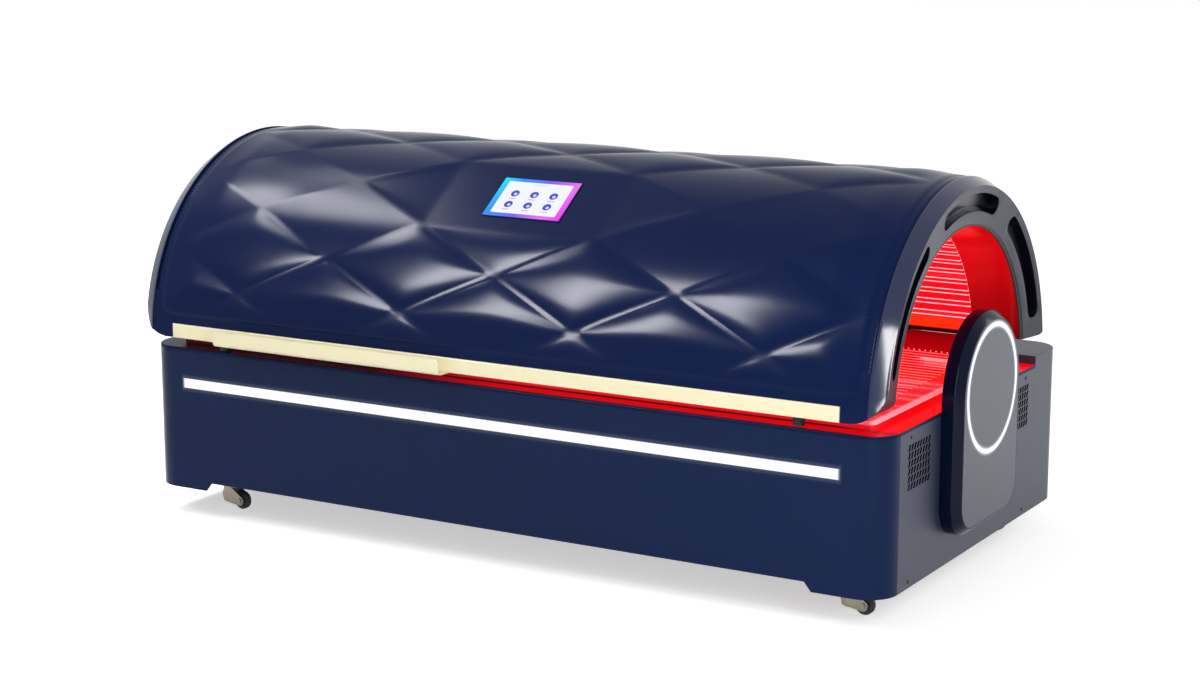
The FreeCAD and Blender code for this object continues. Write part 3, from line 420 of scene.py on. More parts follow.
# Shares of the red field's strength
RIM_SHARE = 0.9
BEAM_SHARE = 0.8
BOLSTER_SHARE = 0.6
LIP_SHARES = (0.28, 0.56)


def rim_navy(bed):
    # Dark enamel of the deck rim, with painted red light at the bed's open end and in the gap under the
    # canopy
    made, add, shader = new_material("navy_washed_enamel", IOR=1.5, Specular_IOR_Level=0.03, Roughness=0.3,
                                     Emission_Color=linear("#F0040C"))
    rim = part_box("deck_rim")[0].y / MM
    low, high = (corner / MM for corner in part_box("bed_sheet"))
    axes = object_axes(add)
    ends = add("MapRange", {"Value": axes["X"], **span(high.x - 115, high.x + 5)}, **SOFT)
    inner = add("MapRange", {"Value": axes["Y"], **span(rim + 22, rim + 92)}, **SOFT)
    corner = add("Math", (ends, inner), operation="MULTIPLY")
    along = add("MapRange", {"Value": axes["X"], **span(*GAP_RUN, high=0.8)}, **SOFT)
    front = add("MapRange", {"Value": axes["Y"], **span(rim + 4, rim + 18)})
    rear = add("MapRange", {"Value": axes["Y"], **span(low.y + 6, low.y - 8, high=along)})
    line = add("Math", (rear, front), operation="MULTIPLY")
    lit = add("Math", (corner, line), operation="MAXIMUM")
    facing = add("SeparateXYZ", {"Vector": add("NewGeometry", out="Normal")}).node.outputs
    top = add("MapRange", {"Value": facing["Z"], "From Min": 0.6, "From Max": 0.95})
    # painted red light: a red glow and red colour, strongest on faces that look up
    wash = add("Math", (lit, top), operation="MULTIPLY")
    tones = {"Factor": wash, "A": bed.finish.coat, "B": linear("#B00409")}
    level = add("Math", (wash, bed.glow.field * RIM_SHARE), operation="MULTIPLY")
    fill(shader, {"Base Color": add("Mix", tones, data_type="RGBA"), "Emission Strength": level})
    return made


def rear_beam(bed):
    # Enamelled beam behind the liner: near black, with painted orange-red light inside, where the lines
    # light it
    made, add, shader = new_material("navy_lit_enamel", Roughness=0.24, IOR=1.5, Specular_IOR_Level=0.14,
                                     Emission_Color=linear("#F03A14"))
    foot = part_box("canopy_rear_beam")[0].z / MM
    axes = object_axes(add)
    inside = add("MapRange", {"Value": axes["Y"], **span(*BEAM_RUN)}, **SOFT)
    above = add("MapRange", {"Value": axes["Z"], **span(foot + 9, foot + 13)})
    lit = add("Math", (inside, above), operation="MULTIPLY")
    tones = {"Factor": lit, "A": linear("#05070F"), "B": linear("#C4200E")}
    level = add("Math", (lit, bed.glow.field * BEAM_SHARE), operation="MULTIPLY")
    fill(shader, {"Base Color": add("Mix", tones, data_type="RGBA"), "Emission Strength": level})
    return made


def red_tray(bed):
    # Red enamel of the bed tray: painted red light, bright along its upper edge near the diodes, gone below
    # the deck
    made, add, shader = new_material("lit_red_enamel", Roughness=0.25, IOR=1.5,
                                     Base_Color=linear("#420308"), Emission_Color=bed.finish.red)
    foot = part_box("bed_tray")[0].z / MM
    axes = object_axes(add)
    level = add("MapRange", {"Value": axes["Z"], **span(foot - 4, foot + 18, high=bed.glow.field)})
    along = add("MapRange", {"Value": axes["X"], **span(*GAP_RUN, low=0.04)}, **SOFT)
    fill(shader, {"Emission Strength": add("Math", (level, along), operation="MULTIPLY")})
    return made


def red_lip(bed):
    # Red gloss acrylic of the smooth lip: lit by the lines beside it, most at the crown, least at the deck
    made, add, shader = new_material("lit_red_lip", Roughness=0.16, IOR=1.49)
    place = add("TexCoord", out="Object")
    axes = add("SeparateXYZ", {"Vector": place}).node.outputs
    height = add("MapRange", {"Value": axes["Z"], **span(*LIP_RUN)})
    ramp = add("ValToRGB", {"Fac": height})
    colour_stops(ramp, "#4A0106", "#BC0A12", (0.45, "#8E050C"))
    cloud = add("TexNoise", {"Vector": place, "Scale": per_mm(120), "Detail": 1.0})
    weak, strong = (bed.glow.field * share for share in LIP_SHARES)
    level = add("MapRange", {"Value": cloud, "To Min": weak, "To Max": strong})
    fill(shader, {"Base Color": ramp, "Emission Color": ramp, "Emission Strength": level})
    return made


def lit_red(name, base, glow, rough):
    """Red-lit gloss acrylic: saturated colour, brighter in soft patches where the diodes sit close."""
    made, add, shader = new_material(name, Roughness=rough, IOR=1.49, Coat_Weight=0.4, Coat_Roughness=0.06)
    place = add("TexCoord", out="Object")
    cloud = add("TexNoise", {"Vector": place, "Scale": per_mm(160), "Detail": 1.0})
    mix = add("Mix", {"Factor": cloud, "A": shade(base, 0.8), "B": base}, data_type="RGBA")
    level = add("MapRange", {"Value": cloud, "To Min": glow * 0.85, "To Max": glow * 1.15})
    fill(shader, {"Base Color": mix, "Emission Color": mix, "Emission Strength": level})
    return made


def red_field(bed):
    # Gloss red acrylic of the reflector, fully lit
    return lit_red("lit_red_field", bed.finish.red, bed.glow.field, rough=0.22)


def red_deep(bed):
    # Gloss red acrylic of the bolster, in half light
    return lit_red("lit_red_shade", bed.finish.deep_red, bed.glow.field * BOLSTER_SHARE, rough=0.2)


def led_line(bed):
    # Clear resin over the diodes, lit pink-white
    return lit_red("lit_diode_line", bed.finish.pink, bed.glow.lines, rough=0.4)


def striped_glow(bed, add, shader, distance, inside, edge=0.0):
    """Lit lines on a red field: a pink-white core with soft sides, plain red past the ends of the lines."""
    core = add("MapRange", {"Value": distance, **span(*LINE_RUN)}, **SOFT)
    line = add("Math", (core, inside), operation="MULTIPLY")
    line = add("Math", (line, edge), operation="MAXIMUM")
    mix = add("Mix", {"Factor": line, "A": bed.finish.red, "B": bed.finish.pink}, data_type="RGBA")
    level = add("MapRange", {"Value": line, "To Min": bed.glow.field, "To Max": bed.glow.lines})
    fill(shader, {"Base Color": mix, "Emission Color": mix, "Emission Strength": level})


def liner(bed):
    # Clear acrylic liner over pairs of diode lines: lit red between them
    c = bed.canopy
    pitch, half_gap, reach = 17 * MM, 6.4 * MM, math.radians(76)
    made, add, shader = new_material("lit_acrylic_liner", Roughness=0.12, IOR=1.49, Coat_Weight=0.3)
    axes = object_axes(add)
    y = add("Math", (axes["Y"], c.axis_y), operation="SUBTRACT")
    z = add("Math", (axes["Z"], c.axis_z), operation="SUBTRACT")
    turn = add("Math", (y, z), operation="ARCTAN2")
    arc = add("Math", (turn, c.inner), operation="MULTIPLY")
    swing = add("Math", (arc, pitch), operation="PINGPONG")
    apart = add("Math", (swing, half_gap), operation="SUBTRACT")
    distance = add("Math", (apart,), operation="ABSOLUTE")
    turned = add("Math", (turn,), operation="ABSOLUTE")
    inside = add("Math", (turned, reach), operation="LESS_THAN")
    striped_glow(bed, add, shader, distance, inside)
    return made


def bed_top(bed):
    # Clear acrylic bed sheet over single diode lines, with light in its cut ends
    pitch, end = 14.5 * MM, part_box("bed_sheet")[1].x / MM
    made, add, shader = new_material("lit_acrylic_sheet", Roughness=0.08, IOR=1.49, Coat_Weight=0.6,
                                     Coat_Roughness=0.03)
    axes = object_axes(add)
    distance = add("Math", (axes["Y"], pitch), operation="PINGPONG")
    reach = add("Math", (axes["X"],), operation="ABSOLUTE")
    inside = add("Math", (reach, (end - 60) * MM), operation="LESS_THAN")
    edge = add("MapRange", {"Value": reach, **span(end - 11, end - 3, high=0.5)})
    striped_glow(bed, add, shader, distance, inside, edge)
    return made


# Display

def screen_field(bed):
    # Lit display behind glass: cyan to magenta along its length, deeper towards its lower edge
    made, add, shader = new_material("lit_display_field", Roughness=0.08, IOR=1.5, Specular_IOR_Level=0.2,
                                     Base_Color=linear("#060608"), Emission_Strength=bed.glow.screen)
    low, high = (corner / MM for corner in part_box("touch_screen"))
    axes = object_axes(add)
    along = add("MapRange", {"Value": axes["X"], **span(low.x, high.x, high=0.8)})
    down = add("MapRange", {"Value": axes["Z"], **span(high.z, low.z, high=0.2)})
    slant = add("Math", (along, down), operation="ADD")
    ramp = add("ValToRGB", {"Fac": slant})
    colour_stops(ramp, "#00E6F5", "#EE1EEC", (0.2, "#1590FA"), (0.5, "#6A5CF0"), (0.8, "#E070EE"))
    fill(shader, {"Emission Color": ramp})
    return made


def screen_tone(bed, name, code, spread):
    """Lit area of the display, a little uneven as a backlight is."""
    made, add, shader = new_material(name, Roughness=0.1, IOR=1.5, Specular_IOR_Level=0.2,
                                     Base_Color=linear("#060608"), Emission_Strength=bed.glow.screen)
    place = add("TexCoord", out="Object")
    cloud = add("TexNoise", {"Vector": place, "Scale": per_mm(30)})
    tones = {"Factor": cloud, "A": shade(linear(code), 1 - spread), "B": linear(code)}
    fill(shader, {"Emission Color": add("Mix", tones, data_type="RGBA")})
    return made


def screen_white(bed):
    # Pale lit page behind the buttons
    return screen_tone(bed, "lit_display_page", "#F4F6FC", spread=0.06)


def screen_button(bed):
    # Blue lit disc of a button
    return screen_tone(bed, "lit_display_button", "#3A50E0", spread=0.3)


def screen_mark(bed):
    # Cream dot on a button and dash over the page
    return screen_tone(bed, "lit_display_mark", "#F0E2CC", spread=0.1)


def screen_dash(bed):
    # Pink dash under a button
    return screen_tone(bed, "lit_display_words", "#E7A6D8", spread=0.2)


# Meshes

made_finishes = {}


def finish(maker):
    """The material that a finish function makes, made once."""
    if maker not in made_finishes:
        made_finishes[maker] = maker(bpy.context.scene.light_bed)
    return made_finishes[maker]


def new_piece(name, bm, body, makers, replaces=(), smooth=40.0):
    """Turns a bmesh into a piece that rides on a body, in place of the named nodes."""
    bmesh.ops.remove_doubles(bm, verts=bm.verts, dist=0.005 * MM)
    bmesh.ops.recalc_face_normals(bm, faces=bm.faces)
    mesh = bpy.data.meshes.new(name)
    bm.to_mesh(mesh)
    bm.free()
    for maker in makers:
        mesh.materials.append(finish(maker))
    mesh.shade_smooth()
    mesh.set_sharp_from_angle(angle=math.radians(smooth))
    made = bpy.data.objects.new(name, mesh)
    bpy.context.scene.collection.objects.link(made)
    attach(made, body)
    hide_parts(*replaces)
    return made


def dress(maker, *nodes):
    """Gives solids that stay as they are a better material."""
    for node in nodes:
        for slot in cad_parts[node].material_slots:
            slot.material = finish(maker)


def everything(bm):
    """All vertices, edges and faces."""
    return bm.verts[:] + bm.edges[:] + bm.faces[:]


def of_kind(geometry, kind):
    """Those of one kind among mixed vertices, edges and faces."""
    return [item for item in geometry if isinstance(item, kind)]


def paint(faces, index):
    """Gives faces one of the piece's materials."""
    for face in faces:
        face.material_index = index


def join(bm, other):
    """Adds another bmesh to this one."""
    mesh = bpy.data.meshes.new("joined")
    other.to_mesh(mesh)
    other.free()
    bm.from_mesh(mesh)
    bpy.data.meshes.remove(mesh)


def rounded_face(bm, corners, radii, segments):
    """A flat face whose corners are rounded, each by its own radius."""
    verts = [bm.verts.new(corner) for corner in corners]
    bm.faces.new(verts)
    for vert, radius in zip(verts, radii):
        bmesh.ops.bevel(bm, geom=[vert], offset=radius, segments=segments, profile=0.5, affect="VERTICES",
                        material=-1)


def extrude(bm, faces, run):
    """Extrudes faces by a vector and gives the moved ones."""
    made = bmesh.ops.extrude_face_region(bm, geom=faces)["geom"]
    bmesh.ops.translate(bm, verts=of_kind(made, bmesh.types.BMVert), vec=run)
    return of_kind(made, bmesh.types.BMFace)


def shift(bm, faces, run):
    """Moves faces by a vector, with the walls beside them."""
    bmesh.ops.translate(bm, verts=list({v for f in faces for v in f.verts}), vec=run)


def soften(bm, edges, width):
    """Rounds edges."""
    bmesh.ops.bevel(bm, geom=edges, offset=width, segments=3, profile=0.5, affect="EDGES", material=-1,
                    clamp_overlap=True)


def sharp_edges(bm, degrees):
    """Edges where two faces meet at more than an angle."""
    limit = math.radians(degrees)
    return [e for e in bm.edges if len(e.link_faces) == 2 and e.calc_face_angle(0) > limit]


def cut_at(bm, place, outward, near, clear=False):
    """Cuts faces along a plane and clears what lies outside it if asked; near is the snapping distance."""
    bmesh.ops.bisect_plane(bm, geom=everything(bm), dist=near, plane_co=place, plane_no=outward,
                           clear_outer=clear)


def corner_planes(middle, radius, out, down, step):
    """Planes that round off a corner: a place and an outward direction for every few degrees."""
    for turn in range(step, 90, step):
        lean = out * math.sin(math.radians(turn)) + down * math.cos(math.radians(turn))
        yield middle + lean * radius, lean


def arch_place(c, x, radius, turn):
    """A point at a radius from the arch axis, turned from the crown to the rear."""
    return Vector((x, c.axis_y + radius * math.sin(turn), c.axis_z + radius * math.cos(turn)))


def arch_sweep(bm, geometry, c, sweep, steps):
    """Spins geometry round the arch axis, from the front to the rear."""
    bmesh.ops.spin(bm, geom=geometry, cent=(0, c.axis_y, c.axis_z), axis=-ALONG, angle=sweep, steps=steps)


def smooth_step(value):
    """0 to 1 with soft ends."""
    value = min(1.0, max(0.0, value))
    return value * value * (3 - 2 * value)


# Canopy skin

class Quilt:
    """Height of the quilted field over the arch, by place along the bed and arc from the screen's row.

    The creases run both ways across the field. A lattice point lies where two cross, and is named by its
    count of half diamonds along the bed and round the arch. The points round the screen's row stand up, so
    that their creases are ridges, and the other creases are valleys between pillows.
    """
    raised = [(k, j) for k in range(-4, 5) for j in (-1, 0, 1) if (k + j) % 2 == 0 and (k, j) != (0, 0)]
    step_run = 6 * MM

    def __init__(self, canopy, half_length, front_arc, rear_arc):
        self.c = canopy
        self.half_length, self.front_arc, self.rear_arc = half_length, front_arc, rear_arc
        self.half_arc = canopy.half_angle * canopy.radius
        self.drop = self.half_arc ** 2 / (2 * canopy.radius)

    def swell(self, column, row):
        """Share of the full rise in a diamond: the screen's row is dished, and the next one plain."""
        if row == 0:
            return -0.3
        if abs(row) == 1:
            return 0.5 if column == 0 else 0.0
        return 1.0

    def folded(self, across, around):
        """Height by counts of half diamonds, from the raised points and the pillow of the diamond."""
        c = self.c
        lift = 0.0
        for k, j in self.raised:
            rising = abs(around - j + across - k) / 2
            falling = abs(around - j - across + k) / 2
            lift += max(0.0, 1 - rising) * max(0.0, 1 - falling)
        m, n = math.floor((around + across) / 2), math.floor((around - across) / 2)
        u = 1 - (around + across - 2 * m - 1) ** 2
        v = 1 - (around - across - 2 * n - 1) ** 2
        pillow = 2 ** 0.5 * u * v / math.hypot(u, v, c.softness)
        return c.rise * (lift + self.swell(m - n, m + n + 1) * pillow)

    def flat(self, x, arc):
        """Height over the six-sided flat round the screen, or None outside it."""
        c = self.c
        spread = abs(x) / c.half_width
        share = min(1.0, 2 - spread)
        edge = self.half_arc * share
        if spread >= 2 or abs(arc) >= edge:
            return None
        floor = (c.rise - self.drop) * share + c.rise * (1 - share)
        lift = self.folded(spread, -share) - floor - edge ** 2 / (2 * c.radius)
        return floor + arc ** 2 / (2 * c.radius) + lift * (arc / edge) ** 4

    def height(self, x, arc):
        """Height over the arch, with the border step and the fade beside it."""
        c = self.c
        side, front = self.half_length - abs(x), arc - self.front_arc
        inset = min(side, front, self.rear_arc - arc)
        if side < c.corner and front < c.corner:
            inset = c.corner - math.hypot(c.corner - side, c.corner - front)
        rim = c.step * (smooth_step((inset - c.border) / self.step_run) - 1)
        flat = self.flat(x, arc)
        if flat is not None:
            return flat + rim
        folded = self.folded(x / c.half_width, arc / self.half_arc)
        return folded * smooth_step((inset - c.border) / c.fade) + rim


class LIGHTBED_OT_skin(bpy.types.Operator):
    """Quilted canopy skin with creases between soft diamonds and a flat border"""
    bl_idname = "lightbed.skin"
    bl_label = "Canopy skin"
    cells: IntProperty(name="Cells", description="Mesh cells along a diamond's side", default=22, min=4)
    overlap, thickness = 1.5 * MM, 4 * MM

    def diamond_grid(self, c, quilt):
        """A flat grid whose cells lie along the creases, large enough to cover the skin."""
        reach = quilt.half_length / c.half_width
        first = 2 * math.floor((quilt.front_arc / quilt.half_arc - reach) / 2)
        last = 2 * math.ceil((quilt.rear_arc / quilt.half_arc + reach) / 2)
        count = (last - first) // 2 * self.cells
        bm = bmesh.new()
        bmesh.ops.create_grid(bm, x_segments=count, y_segments=count, size=(last - first) / 2)
        bmesh.ops.translate(bm, vec=((first + last) / 2, (first + last) / 2, 0), verts=bm.verts)
        wide, tall = c.half_width / 2, quilt.half_arc / 2
        crossed = Matrix(((wide, -wide, 0, 0), (tall, tall, 0, 0), (0, 0, 1, 0), (0, 0, 0, 1)))
        bmesh.ops.transform(bm, matrix=crossed, verts=bm.verts)
        return bm

    def cut(self, bm, c, quilt):
        """Cuts the grid to the outline of the skin, and adds lines at the border step."""
        sides = [(ALONG * quilt.half_length, ALONG), (-ALONG * quilt.half_length, -ALONG),
                 (ACROSS * quilt.front_arc, -ACROSS), (ACROSS * quilt.rear_arc, ACROSS)]
        corners = []
        for side in (-1, 1):
            middle = Vector((side * (quilt.half_length - c.corner), quilt.front_arc + c.corner, 0))
            corners += corner_planes(middle, c.corner, ALONG * side, -ACROSS, step=9)
        for place, outward in sides + corners:
            cut_at(bm, place, outward, near=0.01 * MM, clear=True)
        for inset in (c.border, c.border + quilt.step_run):
            for place, outward in sides:
                cut_at(bm, place - outward * inset, outward, near=0.5 * MM)

    def execute(self, context):
        c = context.scene.light_bed.canopy
        low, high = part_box("canopy_skin")
        front_turn = -math.acos((low.z - self.overlap - c.axis_z) / c.radius)
        rear_turn = math.acos((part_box("canopy_rear_beam")[1].z - c.axis_z) / c.radius)
        quilt = Quilt(c, high.x, *((turn - c.screen_angle) * c.radius for turn in (front_turn, rear_turn)))
        bm = self.diamond_grid(c, quilt)
        self.cut(bm, c, quilt)
        for vert in bm.verts:
            x, arc = vert.co.x, vert.co.y
            vert.co = arch_place(c, x, c.radius + quilt.height(x, arc), c.screen_angle + arc / c.radius)
        skin = new_piece("quilted_skin", bm, "canopy", [moulded_navy], ["canopy_skin"],
                         smooth=60)
        wall = skin.modifiers.new("wall", "SOLIDIFY")
        wall.thickness = self.thickness
        wall.offset = -1
        return {"FINISHED"}


# Canopy end caps

def trim(bm, place, outward, ahead):
    """Cuts away what lies outside a plane and fills the cut; ahead picks one side of the arch axis."""
    faces = [f for f in bm.faces if (f.calc_center_median().y < ahead[0]) == ahead[1]]
    edges = {e for f in faces for e in f.edges}
    verts = {v for f in faces for v in f.verts}
    made = bmesh.ops.bisect_plane(bm, geom=list(verts) + list(edges) + faces, dist=0.002 * MM,
                                  plane_co=place, plane_no=outward, clear_outer=True)
    cut = of_kind(made["geom_cut"], bmesh.types.BMEdge)
    paint(bmesh.ops.holes_fill(bm, edges=cut, sides=0)["faces"], 0)


class LIGHTBED_OT_end_caps(bpy.types.Operator):
    """Canopy end caps with a crowned band, a tapering face with three air slots and a smooth red lip"""
    bl_idname = "lightbed.end_caps"
    bl_label = "Canopy end caps"
    steps: IntProperty(name="Steps", description="Mesh steps round the arch", default=90, min=24)
    slot_depth: length("Slot depth", 26, "Depth of the air slots")
    slot_width: length("Slot width", 44, "Width of the air slots")
    band_drop: length("Band drop", 20, "Fall of the sloping band from the skin to the face")
    makers = [cap_satin, slot_gloss, red_lip, band_navy, moulded_navy]
    first, sweep = math.radians(-99), math.radians(186)
    taper, band_run, lip_run = 20 * MM, 37 * MM, 150 * MM
    crown = [(0, 0), (3, 0.02), (6, 0.08), (31, 0.84), (34, 0.92), (36, 0.97), (37, 1)]
    slot_radius, slot_half, slot_turns = 445 * MM, math.radians(21.5), (-55, 0, 55)
    slot_inset, slot_edge = 2 * MM, 2.5 * MM
    wall_rise, face_rise, bead_run, bead_edge = 6 * MM, 8 * MM, 6 * MM, 1.5 * MM
    lip_reach, bead_reach = 1.2 * MM, 5 * MM
    foot_gap, foot_overlap, foot_drop, foot_depth = 0.5 * MM, 1 * MM, 2.2 * MM, 10 * MM
    foot_sweep, foot_steps = math.radians(24), 12
    bottom, rear_bottom = 487 * MM, 527 * MM
    front_corner, rear_corner, rear_margin = 85 * MM, 38 * MM, 1 * MM
    seal_radius, seal_inset = 3.5 * MM, 4 * MM
    seal_turn, seal_sweep = math.radians(83), math.radians(165)

    def face_x(self, c, radius):
        """Place of the tapering face along the bed."""
        high = c.radius - self.band_drop
        return self.outer + (radius - high) / (high - c.inner) * self.taper

    def slotted_strip(self, low, high):
        """The face between two radii as a flat strip with three holes, cut into steps."""
        bm = bmesh.new()
        run, half_wide = self.slot_radius, self.slot_width / 2
        bmesh.ops.create_grid(bm, x_segments=self.steps, y_segments=1, size=0.5)
        bmesh.ops.scale(bm, vec=(self.sweep * run, high - low, 1), verts=bm.verts)
        middle = (self.first + self.sweep / 2) * run
        bmesh.ops.translate(bm, vec=(middle, (low + high) / 2, 0), verts=bm.verts)
        inner_edges = [e for e in bm.edges if len(e.link_faces) == 2]
        bmesh.ops.delete(bm, geom=inner_edges, context="EDGES_FACES")
        for turn in self.slot_turns:
            middle = math.radians(turn) * run
            corners = [(middle + a * self.slot_half * run, run + b * half_wide, 0) for a, b in SQUARE]
            hole = bmesh.new()
            rounded_face(hole, corners, [half_wide * 0.999] * 4, segments=8)
            bmesh.ops.remove_doubles(hole, verts=hole.verts, dist=0.1 * MM)
            bmesh.ops.delete(hole, geom=hole.faces[:], context="FACES_ONLY")
            join(bm, hole)
        bmesh.ops.triangle_fill(bm, edges=bm.edges[:], use_beauty=True)
        for step in range(1, self.steps):
            place = (self.first + self.sweep * step / self.steps) * run
            cut_at(bm, ALONG * place, ALONG, near=0.002 * MM)
        return bm

    def slotted_face(self, c, low, high):
        """The strip wrapped round the arch, with walls and floors in its slots."""
        bm = self.slotted_strip(low, high)
        run, inside = self.slot_radius, self.slot_inset
        start, end = self.first * run + inside, (self.first + self.sweep) * run - inside
        rim = [e for e in bm.edges if len(e.link_faces) == 1
               and all(low + inside < v.co.y < high - inside for v in e.verts)
               and all(start < v.co.x < end for v in e.verts)]
        for vert in bm.verts:
            vert.co = arch_place(c, self.face_x(c, vert.co.y), vert.co.y, vert.co.x / run)
        made = bmesh.ops.extrude_edge_only(bm, edges=rim)["geom"]
        bmesh.ops.translate(bm, verts=of_kind(made, bmesh.types.BMVert), vec=-ALONG * self.slot_depth)
        floors = bmesh.ops.holes_fill(bm, edges=of_kind(made, bmesh.types.BMEdge), sides=0)["faces"]
        # the walls and floors of the slots take the near black painted shade
        paint(of_kind(made, bmesh.types.BMFace) + floors, self.makers.index(slot_gloss))
        bmesh.ops.recalc_face_normals(bm, faces=bm.faces)
        soften(bm, rim, self.slot_edge)
        return bm

    def foot(self, c, band):
        """The part of the band that runs on below the rounded corner of the skin."""
        bm = bmesh.new()
        near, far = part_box("trim_rail")[1].x + self.foot_gap, band + self.foot_overlap
        top = c.radius - self.foot_drop
        under = top - self.foot_depth
        path = [(near, top), (far, top), (far, under), (near, under)]
        bm.faces.new([bm.verts.new(arch_place(c, x, r, self.first)) for x, r in path])
        arch_sweep(bm, everything(bm), c, self.foot_sweep, self.foot_steps)
        paint(bm.faces, self.makers.index(moulded_navy))
        return bm

    def shell(self, c, band, low, high):
        """Band, back, lip and bead of a cap, spun round the arch from one outline."""
        wall, lip, edge = c.inner + self.wall_rise, self.outer - self.lip_run, self.face_x(c, c.inner)
        path = [(band + x * MM, c.radius - share * self.band_drop) for x, share in self.crown[::-1]]
        path += [(band, wall), (lip, wall), (lip, c.inner)]
        path += [(edge - self.bead_run, c.inner), (edge - self.bead_edge, c.inner + self.bead_edge)]
        path += [(self.face_x(c, wall), wall), (self.face_x(c, low), low)]
        bm = bmesh.new()
        verts = [bm.verts.new(arch_place(c, x, r, self.first)) for x, r in path]
        edges = [bm.edges.new(pair) for pair in zip(verts, verts[1:])]
        arch_sweep(bm, verts + edges, c, self.sweep, self.steps)
        for face in bm.faces:
            middle = face.calc_center_median()
            radius = math.hypot(middle.y - c.axis_y, middle.z - c.axis_z)
            if radius < c.inner + self.lip_reach:
                face.material_index = self.makers.index(red_lip)
            elif radius < c.inner + self.bead_reach:
                # the bead in the corner by the lip takes the same painted shade
                face.material_index = self.makers.index(slot_gloss)
            elif radius > high:
                face.material_index = self.makers.index(band_navy)
        return bm

    def cap(self, c):
        """The cap of the right end, cut to its outline."""
        low, high, band = c.inner + self.face_rise, c.radius - self.band_drop, self.outer - self.band_run
        bm = self.shell(c, band, low, high)
        join(bm, self.foot(c, band))
        join(bm, self.slotted_face(c, low, high))
        bmesh.ops.remove_doubles(bm, verts=bm.verts, dist=0.02 * MM)
        bmesh.ops.recalc_face_normals(bm, faces=bm.faces)
        front, rear = (c.axis_y, True), (c.axis_y, False)
        trim(bm, UP * self.bottom, -UP, front)
        trim(bm, UP * self.rear_bottom, -UP, rear)
        middle = Vector((self.outer - self.front_corner, 0, self.bottom + self.front_corner))
        for place, outward in corner_planes(middle, self.front_corner, ALONG, -UP, step=10):
            trim(bm, place, outward, front)
        height = self.rear_bottom + self.rear_corner
        reach = c.axis_y + math.sqrt(c.radius ** 2 - (height - c.axis_z) ** 2) + self.rear_margin
        middle = Vector((0, reach - self.rear_corner, height))
        for place, outward in corner_planes(middle, self.rear_corner, ACROSS, -UP, step=9):
            trim(bm, place, outward, rear)
        return bm

    def seal(self, c, side):
        """A round rubber seal along the inner edge of a cap."""
        bm = bmesh.new()
        ring = bmesh.ops.create_circle(bm, segments=10, radius=self.seal_radius)["verts"]
        bmesh.ops.rotate(bm, verts=ring, matrix=Matrix.Rotation(math.pi / 2, 3, "X"))
        x = side * (self.face_x(c, c.inner) - self.seal_inset)
        bmesh.ops.translate(bm, verts=ring, vec=(x, c.axis_y, c.axis_z + c.inner))
        bmesh.ops.rotate(bm, verts=ring, cent=(0, c.axis_y, c.axis_z),
                         matrix=Matrix.Rotation(self.seal_turn, 3, "X"))
        arch_sweep(bm, everything(bm), c, self.seal_sweep, self.steps)
        return bm

    def execute(self, context):
        c = context.scene.light_bed.canopy
        self.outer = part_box("canopy_end_right")[1].x
        for name, side in SIDES:
            bm = self.cap(c)
            bmesh.ops.scale(bm, vec=(side, 1, 1), verts=bm.verts)
            new_piece("end_cap_" + name, bm, "canopy", self.makers, ["canopy_end_" + name],
                      smooth=30)
            new_piece("lip_seal_" + name, self.seal(c, side), "canopy", [black_rubber])
        return {"FINISHED"}


# End columns

class LIGHTBED_OT_columns(bpy.types.Operator):
    """End columns with a rounded top, a bevelled edge and softened corners, and the ring lights"""
    bl_idname = "lightbed.columns"
    bl_label = "End columns"
    bevel: length("Bevel", 17, "Width of the sloping edge")
    bevel_depth: length("Bevel depth", 19, "Depth of the sloping edge")
    foot_corner, rim, groove, recess, edge = 85 * MM, 3 * MM, 0.1 * MM, 5.2 * MM, 1.6 * MM

    def shell(self, low, high, side):
        """A column that stands out from its end of the bed, with a recess for the face plate."""
        near, far = (low.x, high.x) if side > 0 else (high.x, low.x)
        bm = bmesh.new()
        outline = ((low.y, low.z), (high.y, low.z), (high.y, high.z), (low.y, high.z))
        round_top = (high.y - low.y) / 2 * 0.9999
        radii = [self.foot_corner, self.foot_corner, round_top, round_top]
        rounded_face(bm, [(near, y, z) for y, z in outline], radii, segments=14)
        bmesh.ops.remove_doubles(bm, verts=bm.verts, dist=0.1 * MM)
        front = extrude(bm, bm.faces[:], ALONG * (far - near - side * self.bevel_depth))
        bmesh.ops.inset_region(bm, faces=front, thickness=self.bevel, depth=0, use_even_offset=True)
        shift(bm, front, ALONG * side * self.bevel_depth)
        for width in (self.rim, self.groove):
            bmesh.ops.inset_region(bm, faces=front, thickness=width, depth=0, use_even_offset=True)
        shift(bm, front, ALONG * -side * self.recess)
        soften(bm, sharp_edges(bm, degrees=30), self.edge)
        return bm

    def execute(self, context):
        for name, side in SIDES:
            bm = self.shell(*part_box("end_column_" + name), side)
            new_piece("column_shell_" + name, bm, "base", [column_navy],
                      ["end_column_" + name], smooth=35)
            dress(satin_face, "column_face_" + name)
            dress(ring_lens, "ring_light_" + name)
        return {"FINISHED"}


# Touch screen

